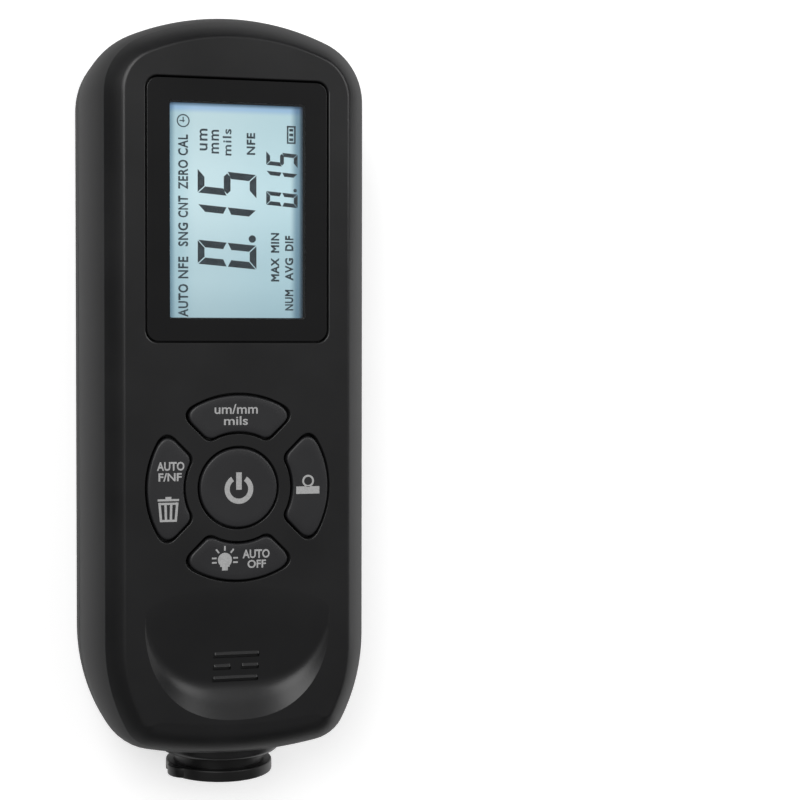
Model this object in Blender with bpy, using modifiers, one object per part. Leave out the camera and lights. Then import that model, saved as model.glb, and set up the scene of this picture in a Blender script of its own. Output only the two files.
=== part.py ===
"""Handheld coating thickness gauge with a spring-loaded probe at one end.

It lies on its back. +Z points out of the display face, +Y toward the display end, and the origin is
under the middle of the back. Every size below is in metres, written as millimetres times MM.
"""

import math

import bmesh
import bpy
from mathutils import Matrix, Vector

MM = 0.001
GAP = 0.3 * MM
# Share of an edge's radius at which the middle point of its rounding lies
ARRIS = 0.3

# Outline of the housing at its widest, seen from the front
LENGTH = 132.2 * MM
HALF_WIDTH = 24.4 * MM
ARCH_RADIUS = 43.2 * MM
TOP_CORNER = 12.2 * MM
LOWER_SIDE_RADIUS = 33.2 * MM
LOWER_CORNER = 8.2 * MM
BOTTOM_RADIUS = 77.2 * MM
TAPER_ABOVE_BOTTOM = 21.1 * MM

# Depth of the housing
FACE_Z = 26.7 * MM
FACE_INSET = 5.2 * MM
EDGE_INSET = 2.2 * MM
EDGE_DROP = 2.4 * MM
FLARE_DEPTH = 14.7 * MM
BACK_ROUND = 4.5 * MM
# Shares of EDGE_INSET, and of the height from there down to the widest point, along the flare
FLARE_LOW = (0.05, 0.75)
FLARE_MIDDLE = (0.2, 0.45)
FLARE_HIGH = (0.55, 0.17)
BEVEL_MIDDLE = 0.42
SEAM_Z = 8.0 * MM
SIDE_WALL = 2.0 * MM
FACE_WALL = 2.5 * MM
LIP_WALL = 0.85 * MM
LIP_HEIGHT = 1.2 * MM

# Display
WINDOW_WIDTH = 31.4 * MM
WINDOW_LENGTH = 44.05 * MM
WINDOW_CORNER = 2.2 * MM
WINDOW_FROM_TOP = 12.0 * MM
WINDOW_THICK = 1.3 * MM
WINDOW_RECESS = 0.1 * MM
LEDGE = 2.0 * MM
LCD_THICK = 2.0 * MM
BACKLIGHT_THICK = 2.6 * MM
BACKLIGHT_MARGIN = 1.0 * MM
FRAME_WALL = 1.5 * MM
FRAME_FLOOR = 1.2 * MM
CONNECTOR_WIDTH = 20.0 * MM
CONNECTOR_THICK = 1.6 * MM

# Keypad
KEYS_BELOW_DISPLAY = 46.2 * MM
POWER_RADIUS = 6.62 * MM
RING_INNER = 9.35 * MM
RING_OUTER = 15.5 * MM
WEB_HALF = 2.05 * MM
KEY_CORNER = 1.15 * MM
KEY_CORNER_PULL = 0.9
KEY_GAP = 0.35 * MM
KEY_PROUD = 0.3 * MM
KEY_EDGE = 0.35 * MM
KEY_TRAVEL = 0.6 * MM
KEY_FLANGE = 1.0 * MM
KEY_FLANGE_THICK = 1.2 * MM
STEM_RADIUS = 1.5 * MM

# Circuit board and what it carries
BOARD_HALF_WIDTH = 19.5 * MM
BOARD_THICK = 1.6 * MM
BOARD_BELOW_FACE = 8.7 * MM
BOARD_TOP_MARGIN = 13.7 * MM
BOARD_BELOW_KEYS = 28.0 * MM
SWITCH_SIZE = 4.6 * MM
SWITCH_HEIGHT = 2.0 * MM
PLUNGER_RADIUS = 1.2 * MM
PLUNGER_LENGTH = 2.0 * MM
CHIP_SIZE = 10.0 * MM
CHIP_THICK = 1.5 * MM
BUZZER_RADIUS = 6.0 * MM
BUZZER_HEIGHT = 5.5 * MM
SOCKET_SIZE = (7.0 * MM, 4.2 * MM, 4.0 * MM)
LEAD_RADIUS = 0.8 * MM
LEAD_STEPS = 8

# Thumb dish below the keypad
DISH_HALF_WIDTH = 16.0 * MM
DISH_CENTRE_BELOW_KEYS = 21.0 * MM
DISH_UP = 4.6 * MM
DISH_DOWN = 18.2 * MM
DISH_DEPTH = 2.9 * MM
DISH_WALL = 2.0 * MM
DISH_LIP = 0.12 * MM
DISH_RAMP_SHARE = 0.72
DISH_RAMP_POWER = 1.1
DISH_WALL_POWER = 6
DISH_LIP_POWER = 12
RIB_BELOW_KEYS = 30.1 * MM
RIB_SPACING = 2.12 * MM
RIB_LENGTH = 7.7 * MM
RIB_WIDTH = 0.45 * MM
RIB_PROUD = 0.35 * MM
RIB_SPLIT = 2.0 * MM

# Probe, along Y at the lower end
PROBE_Z = 11.2 * MM
BOSS_RADIUS = 10.7 * MM
BOSS_EDGE = 0.8 * MM
BOSS_PROUD = 0.3 * MM
BOSS_LENGTH = 4.4 * MM
NECK_RADIUS = 8.0 * MM
NECK_LENGTH = 2.0 * MM
FLANGE_RADIUS = 9.4 * MM
FLANGE_THICK = 2.0 * MM
LOBE_RADIUS = 3.3 * MM
LOBE_OFFSET = 6.9 * MM
LOBE_TURN = math.radians(22)
VEE_DEPTH = 1.1 * MM
HEAD_PROUD = 0.4 * MM
DOME_PROUD = 0.3 * MM
DOME_RADIUS = 1.5 * MM
HEAD_RADIUS = 6.5 * MM
HEAD_THICK = 2.2 * MM
HEAD_STEP = 1.1 * MM
HEAD_GROOVE = 0.35 * MM
COLLAR_EDGE = 0.3 * MM
PROBE_BORE = 6.9 * MM
PROBE_TRAVEL = 1.5 * MM
STOP_BORE = 5.5 * MM
STOP_THICK = 1.2 * MM
HEAD_NECK = 5.1 * MM
CORE_RADIUS = 4.0 * MM
RETAINER_RADIUS = 6.4 * MM
RETAINER_THICK = 1.2 * MM
COIL_RADIUS = 6.3 * MM
COIL_LENGTH = 4.4 * MM
SPRING_LENGTH = 4.6 * MM
SPRING_RADIUS = 5.3 * MM
SPRING_WIRE = 0.3 * MM
SPRING_TURNS = 3
TAIL_RADIUS = 1.6 * MM
TAIL_LENGTH = 5.0 * MM
COLLAR_BACK = 1.5 * MM
RETAINING_RING = 8.9 * MM
RETAINING_THICK = 1.2 * MM

# Battery bay in the back
CELL_RADIUS = 5.25 * MM
CELL_LENGTH = 43.6 * MM
CELL_NUB_RADIUS = 1.9 * MM
CELL_NUB = 0.9 * MM
BAY_WALL = 1.5 * MM
BAY_BELOW_TOP = 9.1 * MM
CONTACT_THICK = 0.4 * MM
CONTACT_WIDTH = 9.0 * MM
CONTACT_SPRING = 5.4 * MM
CONTACT_WIRE = 0.3 * MM
CONTACT_COIL_WIDE = 3.465 * MM
CONTACT_COIL_NARROW = 2.1 * MM
CONTACT_TURNS = 3
DOOR_THICK = 1.7 * MM
DOOR_RAISED = 0.1 * MM
DOOR_LEDGE = 1.9 * MM
DOOR_END_LEDGE = 2.3 * MM
DOOR_CORNER = 2.5 * MM
FRAME_RISE = 1.4 * MM
TAB_WIDTH = 5.0 * MM
TONGUE_HALF_WIDTH = 2.0 * MM
TAB_SPREAD = 7.0 * MM
TAB_REACH = 2.1 * MM
TAB_TOP = 2.9 * MM
TAB_BOTTOM = 1.65 * MM
GRIP_RIBS = 5
GRIP_SPACING = 1.8 * MM
GRIP_WIDTH = 14.0 * MM
GRIP_DEPTH = 0.4 * MM

# Case screws, driven from the back
SCREW_X_TOP = 17.2 * MM
SCREW_X_BOTTOM = 14.6 * MM
SCREW_TOP_MARGIN = 9.6 * MM
SCREW_BELOW_KEYS = 32.3 * MM
SCREW_HEAD = 2.0 * MM
SCREW_HEAD_HEIGHT = 1.5 * MM
SCREW_HEAD_DEPTH = 0.9 * MM
SCREW_SHANK = 1.1 * MM
SCREW_LENGTH = 10.0 * MM
SCREW_CROWN = 1.5 * MM
SCREW_POINT = 0.44 * MM
CROSS_REACH = 1.2 * MM
CROSS_HALF_WIDTH = 0.32 * MM
REAR_POST = 3.5 * MM
FRONT_POST = 2.9 * MM

# Places worked out from the sizes above
TOP_Y = LENGTH / 2
TIP_Y = -LENGTH / 2
FLANGE_FRONT_Y = TIP_Y + HEAD_PROUD + DOME_PROUD
FLANGE_BACK_Y = FLANGE_FRONT_Y + FLANGE_THICK
BOSS_END_Y = FLANGE_BACK_Y + NECK_LENGTH
BOTTOM_Y = BOSS_END_Y + BOSS_PROUD
WINDOW_Y = TOP_Y - WINDOW_FROM_TOP - WINDOW_LENGTH / 2
KEYS_Y = WINDOW_Y - KEYS_BELOW_DISPLAY
DISH_Y = KEYS_Y - DISH_CENTRE_BELOW_KEYS
CEILING_Z = FACE_Z - FACE_WALL
WINDOW_TOP_Z = FACE_Z - WINDOW_RECESS
WINDOW_BOTTOM_Z = WINDOW_TOP_Z - WINDOW_THICK
POCKET_Z = WINDOW_BOTTOM_Z - GAP
LCD_TOP_Z = WINDOW_BOTTOM_Z - GAP
LCD_BOTTOM_Z = LCD_TOP_Z - LCD_THICK
LCD_HALF_WIDTH = WINDOW_WIDTH / 2 - LEDGE - GAP
LCD_HALF_LENGTH = WINDOW_LENGTH / 2 - LEDGE - GAP
BACKLIGHT_TOP_Z = LCD_BOTTOM_Z - GAP
BACKLIGHT_BOTTOM_Z = BACKLIGHT_TOP_Z - BACKLIGHT_THICK
BOARD_TOP_Z = FACE_Z - BOARD_BELOW_FACE
BOARD_BOTTOM_Z = BOARD_TOP_Z - BOARD_THICK
BOARD_TOP_Y = TOP_Y - BOARD_TOP_MARGIN
BOARD_BOTTOM_Y = KEYS_Y - BOARD_BELOW_KEYS
KEY_TOP_Z = FACE_Z + KEY_PROUD
FLANGE_TOP_Z = CEILING_Z - GAP
FLANGE_BOTTOM_Z = FLANGE_TOP_Z - KEY_FLANGE_THICK
SWITCH_BOTTOM_Z = BOARD_TOP_Z + GAP
SWITCH_TOP_Z = SWITCH_BOTTOM_Z + SWITCH_HEIGHT
PLUNGER_TOP_Z = SWITCH_TOP_Z + KEY_TRAVEL + GAP
STEM_BOTTOM_Z = PLUNGER_TOP_Z + GAP
CELL_Z = DOOR_RAISED + DOOR_THICK + 2 * GAP + CELL_RADIUS
CELL_X = CELL_RADIUS + GAP
BAY_HALF_WIDTH = CELL_X + CELL_RADIUS + GAP
BAY_TOP_Z = CELL_Z + CELL_RADIUS + GAP
BAY_TOP_Y = TOP_Y - BAY_BELOW_TOP - BAY_WALL
BAY_LENGTH = CELL_LENGTH + CELL_NUB + CONTACT_SPRING + 2 * CONTACT_THICK + 5 * GAP
BAY_BOTTOM_Y = BAY_TOP_Y - BAY_LENGTH
DOOR_HALF_WIDTH = BAY_HALF_WIDTH + DOOR_LEDGE
DOOR_TOP_Y = BAY_TOP_Y + DOOR_END_LEDGE - GAP
DOOR_BOTTOM_Y = BAY_BOTTOM_Y - DOOR_END_LEDGE + GAP
RECESS_Z = DOOR_RAISED + DOOR_THICK + GAP
STOP_Y = TIP_Y + DOME_PROUD + HEAD_THICK + PROBE_TRAVEL + GAP
RETAINER_Y = STOP_Y + STOP_THICK + GAP
COIL_Y = RETAINER_Y + RETAINER_THICK + GAP
SPRING_Y = COIL_Y + COIL_LENGTH + GAP
COLLAR_WALL_Y = SPRING_Y + SPRING_LENGTH + GAP
SCREW_PLACES = {
    "case_screw_1": (-SCREW_X_TOP, TOP_Y - SCREW_TOP_MARGIN),
    "case_screw_2": (SCREW_X_TOP, TOP_Y - SCREW_TOP_MARGIN),
    "case_screw_3": (-SCREW_X_BOTTOM, KEYS_Y - SCREW_BELOW_KEYS),
    "case_screw_4": (SCREW_X_BOTTOM, KEYS_Y - SCREW_BELOW_KEYS),
}
KEY_ANGLES = {"units_key": 0, "mode_key": 90, "light_key": 180, "zero_key": 270}
KEY_MIDDLE = (RING_INNER + RING_OUTER) / 2


def clear_scene():
    for old in list(bpy.data.objects):
        bpy.data.objects.remove(old)


def new_collection(name):
    collection = bpy.data.collections.new(name)
    bpy.context.scene.collection.children.link(collection)
    return collection


def principled(name, colour, roughness, metallic=0.0, alpha=1.0):
    material = bpy.data.materials.new(name)
    material.use_nodes = True
    shader = material.node_tree.nodes["Principled BSDF"]
    shader.inputs["Base Color"].default_value = (*colour, 1.0)
    shader.inputs["Roughness"].default_value = roughness
    shader.inputs["Metallic"].default_value = metallic
    shader.inputs["Alpha"].default_value = alpha
    return material


clear_scene()
PARTS = new_collection("coating_thickness_gauge")
CUTTERS = new_collection("cutters")
BLACK_ABS = principled("black_abs", (0.022, 0.022, 0.024), 0.45)
KEY_ABS = principled("key_abs", (0.028, 0.028, 0.030), 0.5)
PROBE_ABS = principled("probe_abs", (0.018, 0.018, 0.018), 0.4)
ACRYLIC = principled("acrylic_window", (0.85, 0.9, 0.9), 0.05, alpha=0.35)
LCD_GLASS = principled("lcd_glass", (0.55, 0.72, 0.76), 0.2)
LIGHT_GUIDE = principled("light_guide", (0.8, 0.9, 0.95), 0.3)
WHITE_ABS = principled("white_abs", (0.75, 0.75, 0.72), 0.5)
SILICONE = principled("silicone_strip", (0.6, 0.15, 0.12), 0.7)
EPOXY_GREEN = principled("circuit_board", (0.02, 0.14, 0.05), 0.4)
CHIP_BLACK = principled("chip_epoxy", (0.01, 0.01, 0.01), 0.35)
STEEL = principled("steel", (0.6, 0.6, 0.6), 0.3, 1.0)
NICKEL = principled("nickel_strip", (0.65, 0.62, 0.56), 0.3, 1.0)
COPPER = principled("copper_winding", (0.72, 0.3, 0.15), 0.35, 1.0)
CELL_WRAP = principled("cell_wrap", (0.12, 0.13, 0.15), 0.3)
LEAD_PVC = principled("lead_pvc", (0.3, 0.02, 0.02), 0.5)


def add_object(name, bm, material=None, place=(0, 0, 0), helper=False):
    """Makes an object from a bmesh whose points are measured from place."""
    bmesh.ops.recalc_face_normals(bm, faces=bm.faces)
    mesh = bpy.data.meshes.new(name)
    bm.to_mesh(mesh)
    bm.free()
    piece = bpy.data.objects.new(name, mesh)
    piece.location = place
    if material:
        mesh.materials.append(material)
    (CUTTERS if helper else PARTS).objects.link(piece)
    if helper:
        piece.hide_render = True
        piece.display_type = "WIRE"
    mesh.shade_smooth()
    mesh.set_sharp_from_angle(angle=math.radians(32))
    return piece


def boolean(piece, other, operation):
    modifier = piece.modifiers.new(f"{operation.lower()}_{other.name}", "BOOLEAN")
    modifier.object = other
    modifier.operation = operation
    modifier.solver = "EXACT"


def add_box(bm, low, high):
    size = [b - a for a, b in zip(low, high)]
    middle = [(a + b) / 2 for a, b in zip(low, high)]
    matrix = Matrix.Translation(middle) @ Matrix.Diagonal((*size, 1.0))
    return bmesh.ops.create_cube(bm, size=1.0, matrix=matrix)["verts"]


def add_rounded_box(bm, low, high, corner, segments=3):
    """A box whose four edges along Z are rounded."""
    verts = add_box(bm, low, high)
    edges = {edge for vert in verts for edge in vert.link_edges}
    upright = [e for e in edges if abs(e.verts[0].co.z - e.verts[1].co.z) > abs(high[2] - low[2]) / 2]
    bmesh.ops.bevel(bm, geom=upright, offset=corner, segments=segments, profile=0.5, affect="EDGES")


def add_cylinder(bm, radius, start, end, segments=24):
    """A capped cylinder between two points on a line along one axis."""
    start = Vector(start)
    end = Vector(end)
    along = end - start
    turn = Vector((0, 0, 1)).rotation_difference(along).to_matrix().to_4x4()
    matrix = Matrix.Translation((start + end) / 2) @ turn
    bmesh.ops.create_cone(
        bm,
        cap_ends=True,
        segments=segments,
        radius1=radius,
        radius2=radius,
        depth=along.length,
        matrix=matrix,
    )


def add_loft(bm, rings, closed=False):
    """Skins closed rings of equal point counts. The end rings are capped, or joined if closed."""
    loops = [[bm.verts.new(point) for point in ring] for ring in rings]
    pairs = list(zip(loops, loops[1:]))
    if closed:
        pairs.append((loops[-1], loops[0]))
    for lower, upper in pairs:
        for i, vert in enumerate(lower):
            j = (i + 1) % len(lower)
            bm.faces.new((vert, lower[j], upper[j], upper[i]))
    if not closed:
        bm.faces.new(loops[0][::-1])
        bm.faces.new(loops[-1])


def arc(centre, radius, start, end, steps):
    """Points on an arc after its start point, up to its end point. Angles are in radians."""
    turn = (end - start) / steps
    angles = [start + turn * (i + 1) for i in range(steps)]
    return [(centre[0] + radius * math.cos(a), centre[1] + radius * math.sin(a)) for a in angles]


def circle(radius, steps, start=0.0):
    return arc((0, 0), radius, start, start + 2 * math.pi, steps)


def at_height(points, z):
    return [(x, y, z) for x, y in points]


def rounded_rectangle(half_x, half_y, corner, centre_y, steps=4):
    points = []
    for quadrant in range(4):
        side_x = 1 if quadrant in (0, 3) else -1
        side_y = 1 if quadrant in (0, 1) else -1
        middle = (side_x * (half_x - corner), centre_y + side_y * (half_y - corner))
        start = quadrant * math.pi / 2
        points.append((middle[0] + corner * math.cos(start), middle[1] + corner * math.sin(start)))
        points += arc(middle, corner, start, start + math.pi / 2, steps)
    return points


def meeting_centre(first, first_reach, second, second_reach):
    """The rightmost and lowest point at two given distances from two centres."""
    first = Vector(first)
    second = Vector(second)
    between = second - first
    apart = between.length
    along = (first_reach**2 - second_reach**2 + apart**2) / (2 * apart)
    across = math.sqrt(first_reach**2 - along**2)
    direction = between / apart
    normal = Vector((direction.y, -direction.x))
    corners = [first + direction * along + normal * across * side for side in (1, -1)]
    return max(corners, key=lambda point: point.x - point.y)


def housing_outline(inset):
    """The outline of the housing, from the top of the arch clockwise, moved in by inset.

    All its arcs keep their centres, so outlines of any inset have matching points.
    """
    corner = Vector((HALF_WIDTH - TOP_CORNER, 0.0))
    drop = math.sqrt((ARCH_RADIUS - TOP_CORNER) ** 2 - corner.x**2)
    arch = Vector((0.0, TOP_Y - ARCH_RADIUS))
    corner.y = arch.y + drop
    side = Vector((HALF_WIDTH - LOWER_SIDE_RADIUS, BOTTOM_Y + TAPER_ABOVE_BOTTOM))
    bottom = Vector((0.0, BOTTOM_Y + BOTTOM_RADIUS))
    reach = LOWER_SIDE_RADIUS - LOWER_CORNER
    foot = meeting_centre(side, reach, bottom, BOTTOM_RADIUS - LOWER_CORNER)
    top_turn = math.atan2(corner.y - arch.y, corner.x)
    side_turn = math.atan2(foot.y - side.y, foot.x - side.x)
    bottom_turn = math.atan2(foot.y - bottom.y, foot.x - bottom.x)
    half = [(0.0, arch.y + ARCH_RADIUS - inset)]
    half += arc(arch, ARCH_RADIUS - inset, math.pi / 2, top_turn, 5)
    half += arc(corner, TOP_CORNER - inset, top_turn, 0.0, 6)
    half += arc(side, LOWER_SIDE_RADIUS - inset, 0.0, side_turn, 5)
    half.insert(-5, (HALF_WIDTH - inset, side.y))
    half += arc(foot, LOWER_CORNER - inset, side_turn, bottom_turn, 4)
    half += arc(bottom, BOTTOM_RADIUS - inset, bottom_turn, -math.pi / 2, 4)
    return half + [(-x, y) for x, y in half[-2:0:-1]]


def housing_loft(bm, sections):
    add_loft(bm, [at_height(housing_outline(inset), z) for inset, z in sections])


def turned(name, profile, place, material=None, segments=32, helper=False):
    """A turned piece on an axis along Y. The profile holds (radius, distance along Y from place).

    It runs from the highest distance down the outer side, and back up any bore.
    """
    on_axis = profile[0][0] < 1e-9 and profile[-1][0] < 1e-9
    bm = bmesh.new()
    verts = [bm.verts.new((radius, 0.0, along)) for radius, along in profile]
    ends = zip(verts, verts[1:]) if on_axis else zip(verts, verts[1:] + verts[:1])
    for pair in ends:
        bm.edges.new(pair)
    mesh = bpy.data.meshes.new(name)
    bm.to_mesh(mesh)
    bm.free()
    piece = bpy.data.objects.new(name, mesh)
    piece.location = place
    piece.rotation_euler = (-math.pi / 2, 0.0, 0.0)
    screw = piece.modifiers.new("turn", "SCREW")
    screw.steps = segments
    screw.render_steps = segments
    screw.use_merge_vertices = True
    screw.merge_threshold = 0.00001
    screw.use_smooth_shade = True
    if material:
        mesh.materials.append(material)
    (CUTTERS if helper else PARTS).objects.link(piece)
    if helper:
        piece.hide_render = True
        piece.display_type = "WIRE"
    return piece


def tube(name, points, radius, material, place=(0, 0, 0), resolution=1):
    """A round wire through the points, as a curve with filled ends."""
    curve = bpy.data.curves.new(name, "CURVE")
    curve.dimensions = "3D"
    curve.bevel_depth = radius
    curve.bevel_resolution = resolution
    curve.use_fill_caps = True
    spline = curve.splines.new("POLY")
    spline.points.add(len(points) - 1)
    for control, point in zip(spline.points, points):
        control.co = (*point, 1.0)
    curve.materials.append(material)
    piece = bpy.data.objects.new(name, curve)
    piece.location = place
    PARTS.objects.link(piece)
    return piece


def coil_points(radius, length, turns, steps=10, end_radius=None):
    """A helix along +Y whose first and last half turns lie flat, as on a closed-end spring."""
    end_radius = end_radius or radius
    total = (turns + 1) * steps
    points = []
    for i in range(total + 1):
        share = min(max((i - steps / 2) / (turns * steps), 0.0), 1.0)
        reach = radius + (end_radius - radius) * share
        angle = 2 * math.pi * i / steps
        points.append((reach * math.cos(angle), length * share, reach * math.sin(angle)))
    return points


def dish_depth(across, along, ratio, depth):
    """Depth of the thumb dish: a ramp that deepens toward the probe, with walls rising to its rim."""
    ramp = max(DISH_UP - along, 0.0) / (DISH_UP + DISH_DOWN * DISH_RAMP_SHARE)
    floor = depth * min(ramp, 1.0) ** DISH_RAMP_POWER * (1 - ratio**DISH_WALL_POWER)
    return floor - DISH_LIP * ratio**DISH_LIP_POWER


def dish_solid(name, grow, lower, ratios, steps):
    """The space of the thumb dish, grown sideways and moved down for the underside of its wall."""
    bm = bmesh.new()
    rings = []
    for ratio in ratios:
        ring = []
        for i in range(steps):
            angle = 2 * math.pi * i / steps
            reach_y = (DISH_UP if math.sin(angle) > 0 else DISH_DOWN) + grow
            x = (DISH_HALF_WIDTH + grow) * ratio * math.cos(angle)
            y = reach_y * ratio * math.sin(angle)
            depth = dish_depth(x, y, ratio, DISH_DEPTH)
            ring.append((x, DISH_Y + y, FACE_Z - lower - depth))
        rings.append(ring)
    top = [(x, y, FACE_Z - lower + DISH_DEPTH) for x, y, z in rings[-1]]
    add_loft(bm, rings + [top])
    return add_object(name, bm, helper=True)


def key_outline(grow):
    """The key above the power key, centred on +Y, grown by grow. Its straight sides are diagonal."""
    outer = RING_OUTER + grow
    inner = RING_INNER - grow
    web = WEB_HALF - grow
    quarter = math.pi / 4
    outer_lean = quarter + math.asin(web / outer)
    inner_lean = quarter + math.asin(web / inner)
    outer_start = (outer * math.cos(outer_lean), outer * math.sin(outer_lean))
    outer_run = [outer_start] + arc((0, 0), outer, outer_lean, math.pi - outer_lean, 8)
    inner_start = (-inner * math.cos(inner_lean), inner * math.sin(inner_lean))
    inner_run = [inner_start] + arc((0, 0), inner, math.pi - inner_lean, inner_lean, 6)
    points = outer_run + inner_run
    corners = {0, len(outer_run) - 1, len(outer_run), len(points) - 1}
    rounded = []
    for i, point in enumerate(points):
        if i in corners:
            rounded += rounded_corner(points[i - 1], point, points[(i + 1) % len(points)])
        else:
            rounded.append(point)
    return rounded


def rounded_corner(before, corner, after, steps=3):
    """Points on a curve that cuts a corner, starting and ending KEY_CORNER from it."""
    corner = Vector(corner)
    start = corner + (Vector(before) - corner).normalized() * KEY_CORNER
    end = corner + (Vector(after) - corner).normalized() * KEY_CORNER
    points = []
    for i in range(steps + 1):
        t = i / steps
        pull = corner * KEY_CORNER_PULL + (start + end) / 2 * (1 - KEY_CORNER_PULL)
        blend = start * (1 - t) ** 2 + pull * 2 * t * (1 - t) + end * t**2
        points.append((blend.x, blend.y))
    return points


def turned_outline(points, degrees):
    turn = math.radians(degrees)
    cos = math.cos(turn)
    sin = math.sin(turn)
    return [(x * cos - y * sin, x * sin + y * cos) for x, y in points]


def moved(points, x, y):
    return [(px + x, py + y) for px, py in points]


def key_cap(name, outline, middle):
    """A key cap with a rounded top edge, a flange under the face and a stem above its switch.

    Its points are measured from the middle of the key at the height of the face.
    """
    sections = (
        (-KEY_EDGE, KEY_PROUD),
        (-KEY_EDGE * ARRIS, KEY_PROUD - KEY_EDGE * ARRIS),
        (0.0, KEY_PROUD - KEY_EDGE),
        (0.0, FLANGE_TOP_Z - FACE_Z),
        (KEY_FLANGE, FLANGE_TOP_Z - FACE_Z),
        (KEY_FLANGE, FLANGE_BOTTOM_Z - FACE_Z),
    )
    bm = bmesh.new()
    rings = [at_height(moved(outline(grow), -middle[0], -middle[1]), z) for grow, z in sections]
    add_loft(bm, rings[::-1])
    place = (middle[0], KEYS_Y + middle[1], FACE_Z)
    cap = add_object(name, bm, KEY_ABS, place)
    stem = bmesh.new()
    top = FLANGE_BOTTOM_Z + KEY_FLANGE_THICK / 2 - FACE_Z
    add_cylinder(stem, STEM_RADIUS, (0, 0, STEM_BOTTOM_Z - FACE_Z), (0, 0, top), 16)
    boolean(cap, add_object(f"{name}_stem", stem, place=place, helper=True), "UNION")
    switch_name = name.replace("_key", "_switch")
    add_switch(switch_name, place)
    return cap


def add_switch(name, place):
    """A tactile switch on the board: a square body with a bore, and the plunger in it."""
    bore = PLUNGER_RADIUS + GAP
    half = SWITCH_SIZE / 2
    ring = circle(1.0, 16, math.pi / 4)
    square = [(x * half / max(abs(x), abs(y)), y * half / max(abs(x), abs(y))) for x, y in ring]
    hole = [(x * bore, y * bore) for x, y in ring]
    low = SWITCH_BOTTOM_Z - FACE_Z
    high = SWITCH_TOP_Z - FACE_Z
    bm = bmesh.new()
    rings = [at_height(square, low), at_height(square, high), at_height(hole, high), at_height(hole, low)]
    add_loft(bm, rings, closed=True)
    add_object(name, bm, CHIP_BLACK, place)
    bm = bmesh.new()
    plunger_top = PLUNGER_TOP_Z - FACE_Z
    add_cylinder(bm, PLUNGER_RADIUS, (0, 0, plunger_top - PLUNGER_LENGTH), (0, 0, plunger_top), 16)
    add_object(f"{name}_plunger", bm, WHITE_ABS, place)


def power_outline(grow):
    return circle(POWER_RADIUS + grow, 32)


def add_keys():
    key_cap("power_key", power_outline, (0.0, 0.0))
    for name, degrees in KEY_ANGLES.items():
        middle = turned_outline([(0.0, KEY_MIDDLE)], degrees)[0]
        key_cap(name, lambda grow, d=degrees: turned_outline(key_outline(grow), d), middle)


def boss_solid(name):
    """The round boss at the lower end that the probe collar passes through."""
    profile = (
        (0.0, BOSS_LENGTH),
        (BOSS_RADIUS, BOSS_LENGTH),
        (BOSS_RADIUS, BOSS_EDGE),
        (BOSS_RADIUS - BOSS_EDGE * ARRIS, BOSS_EDGE * ARRIS),
        (BOSS_RADIUS - BOSS_EDGE, 0.0),
        (0.0, 0.0),
    )
    return turned(name, profile, (0, BOSS_END_Y, PROBE_Z), segments=48, helper=True)


def housing_ribs():
    """Three short ribs across the floor of the dish, the middle one split."""
    bm = bmesh.new()
    for row in (-1, 0, 1):
        y = KEYS_Y - RIB_BELOW_KEYS + row * RIB_SPACING
        along = y - DISH_Y
        ratio = abs(along) / DISH_DOWN
        floor = FACE_Z - dish_depth(0.0, along, ratio, DISH_DEPTH)
        half = RIB_LENGTH / 2
        spans = [(-half, half)] if row else [(-half, -RIB_SPLIT / 2), (RIB_SPLIT / 2, half)]
        for start, end in spans:
            low = (start, y - RIB_WIDTH / 2, floor - DISH_WALL / 2)
            add_box(bm, low, (end, y + RIB_WIDTH / 2, floor + RIB_PROUD))
    return add_object("dish_ribs", bm, helper=True)


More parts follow.
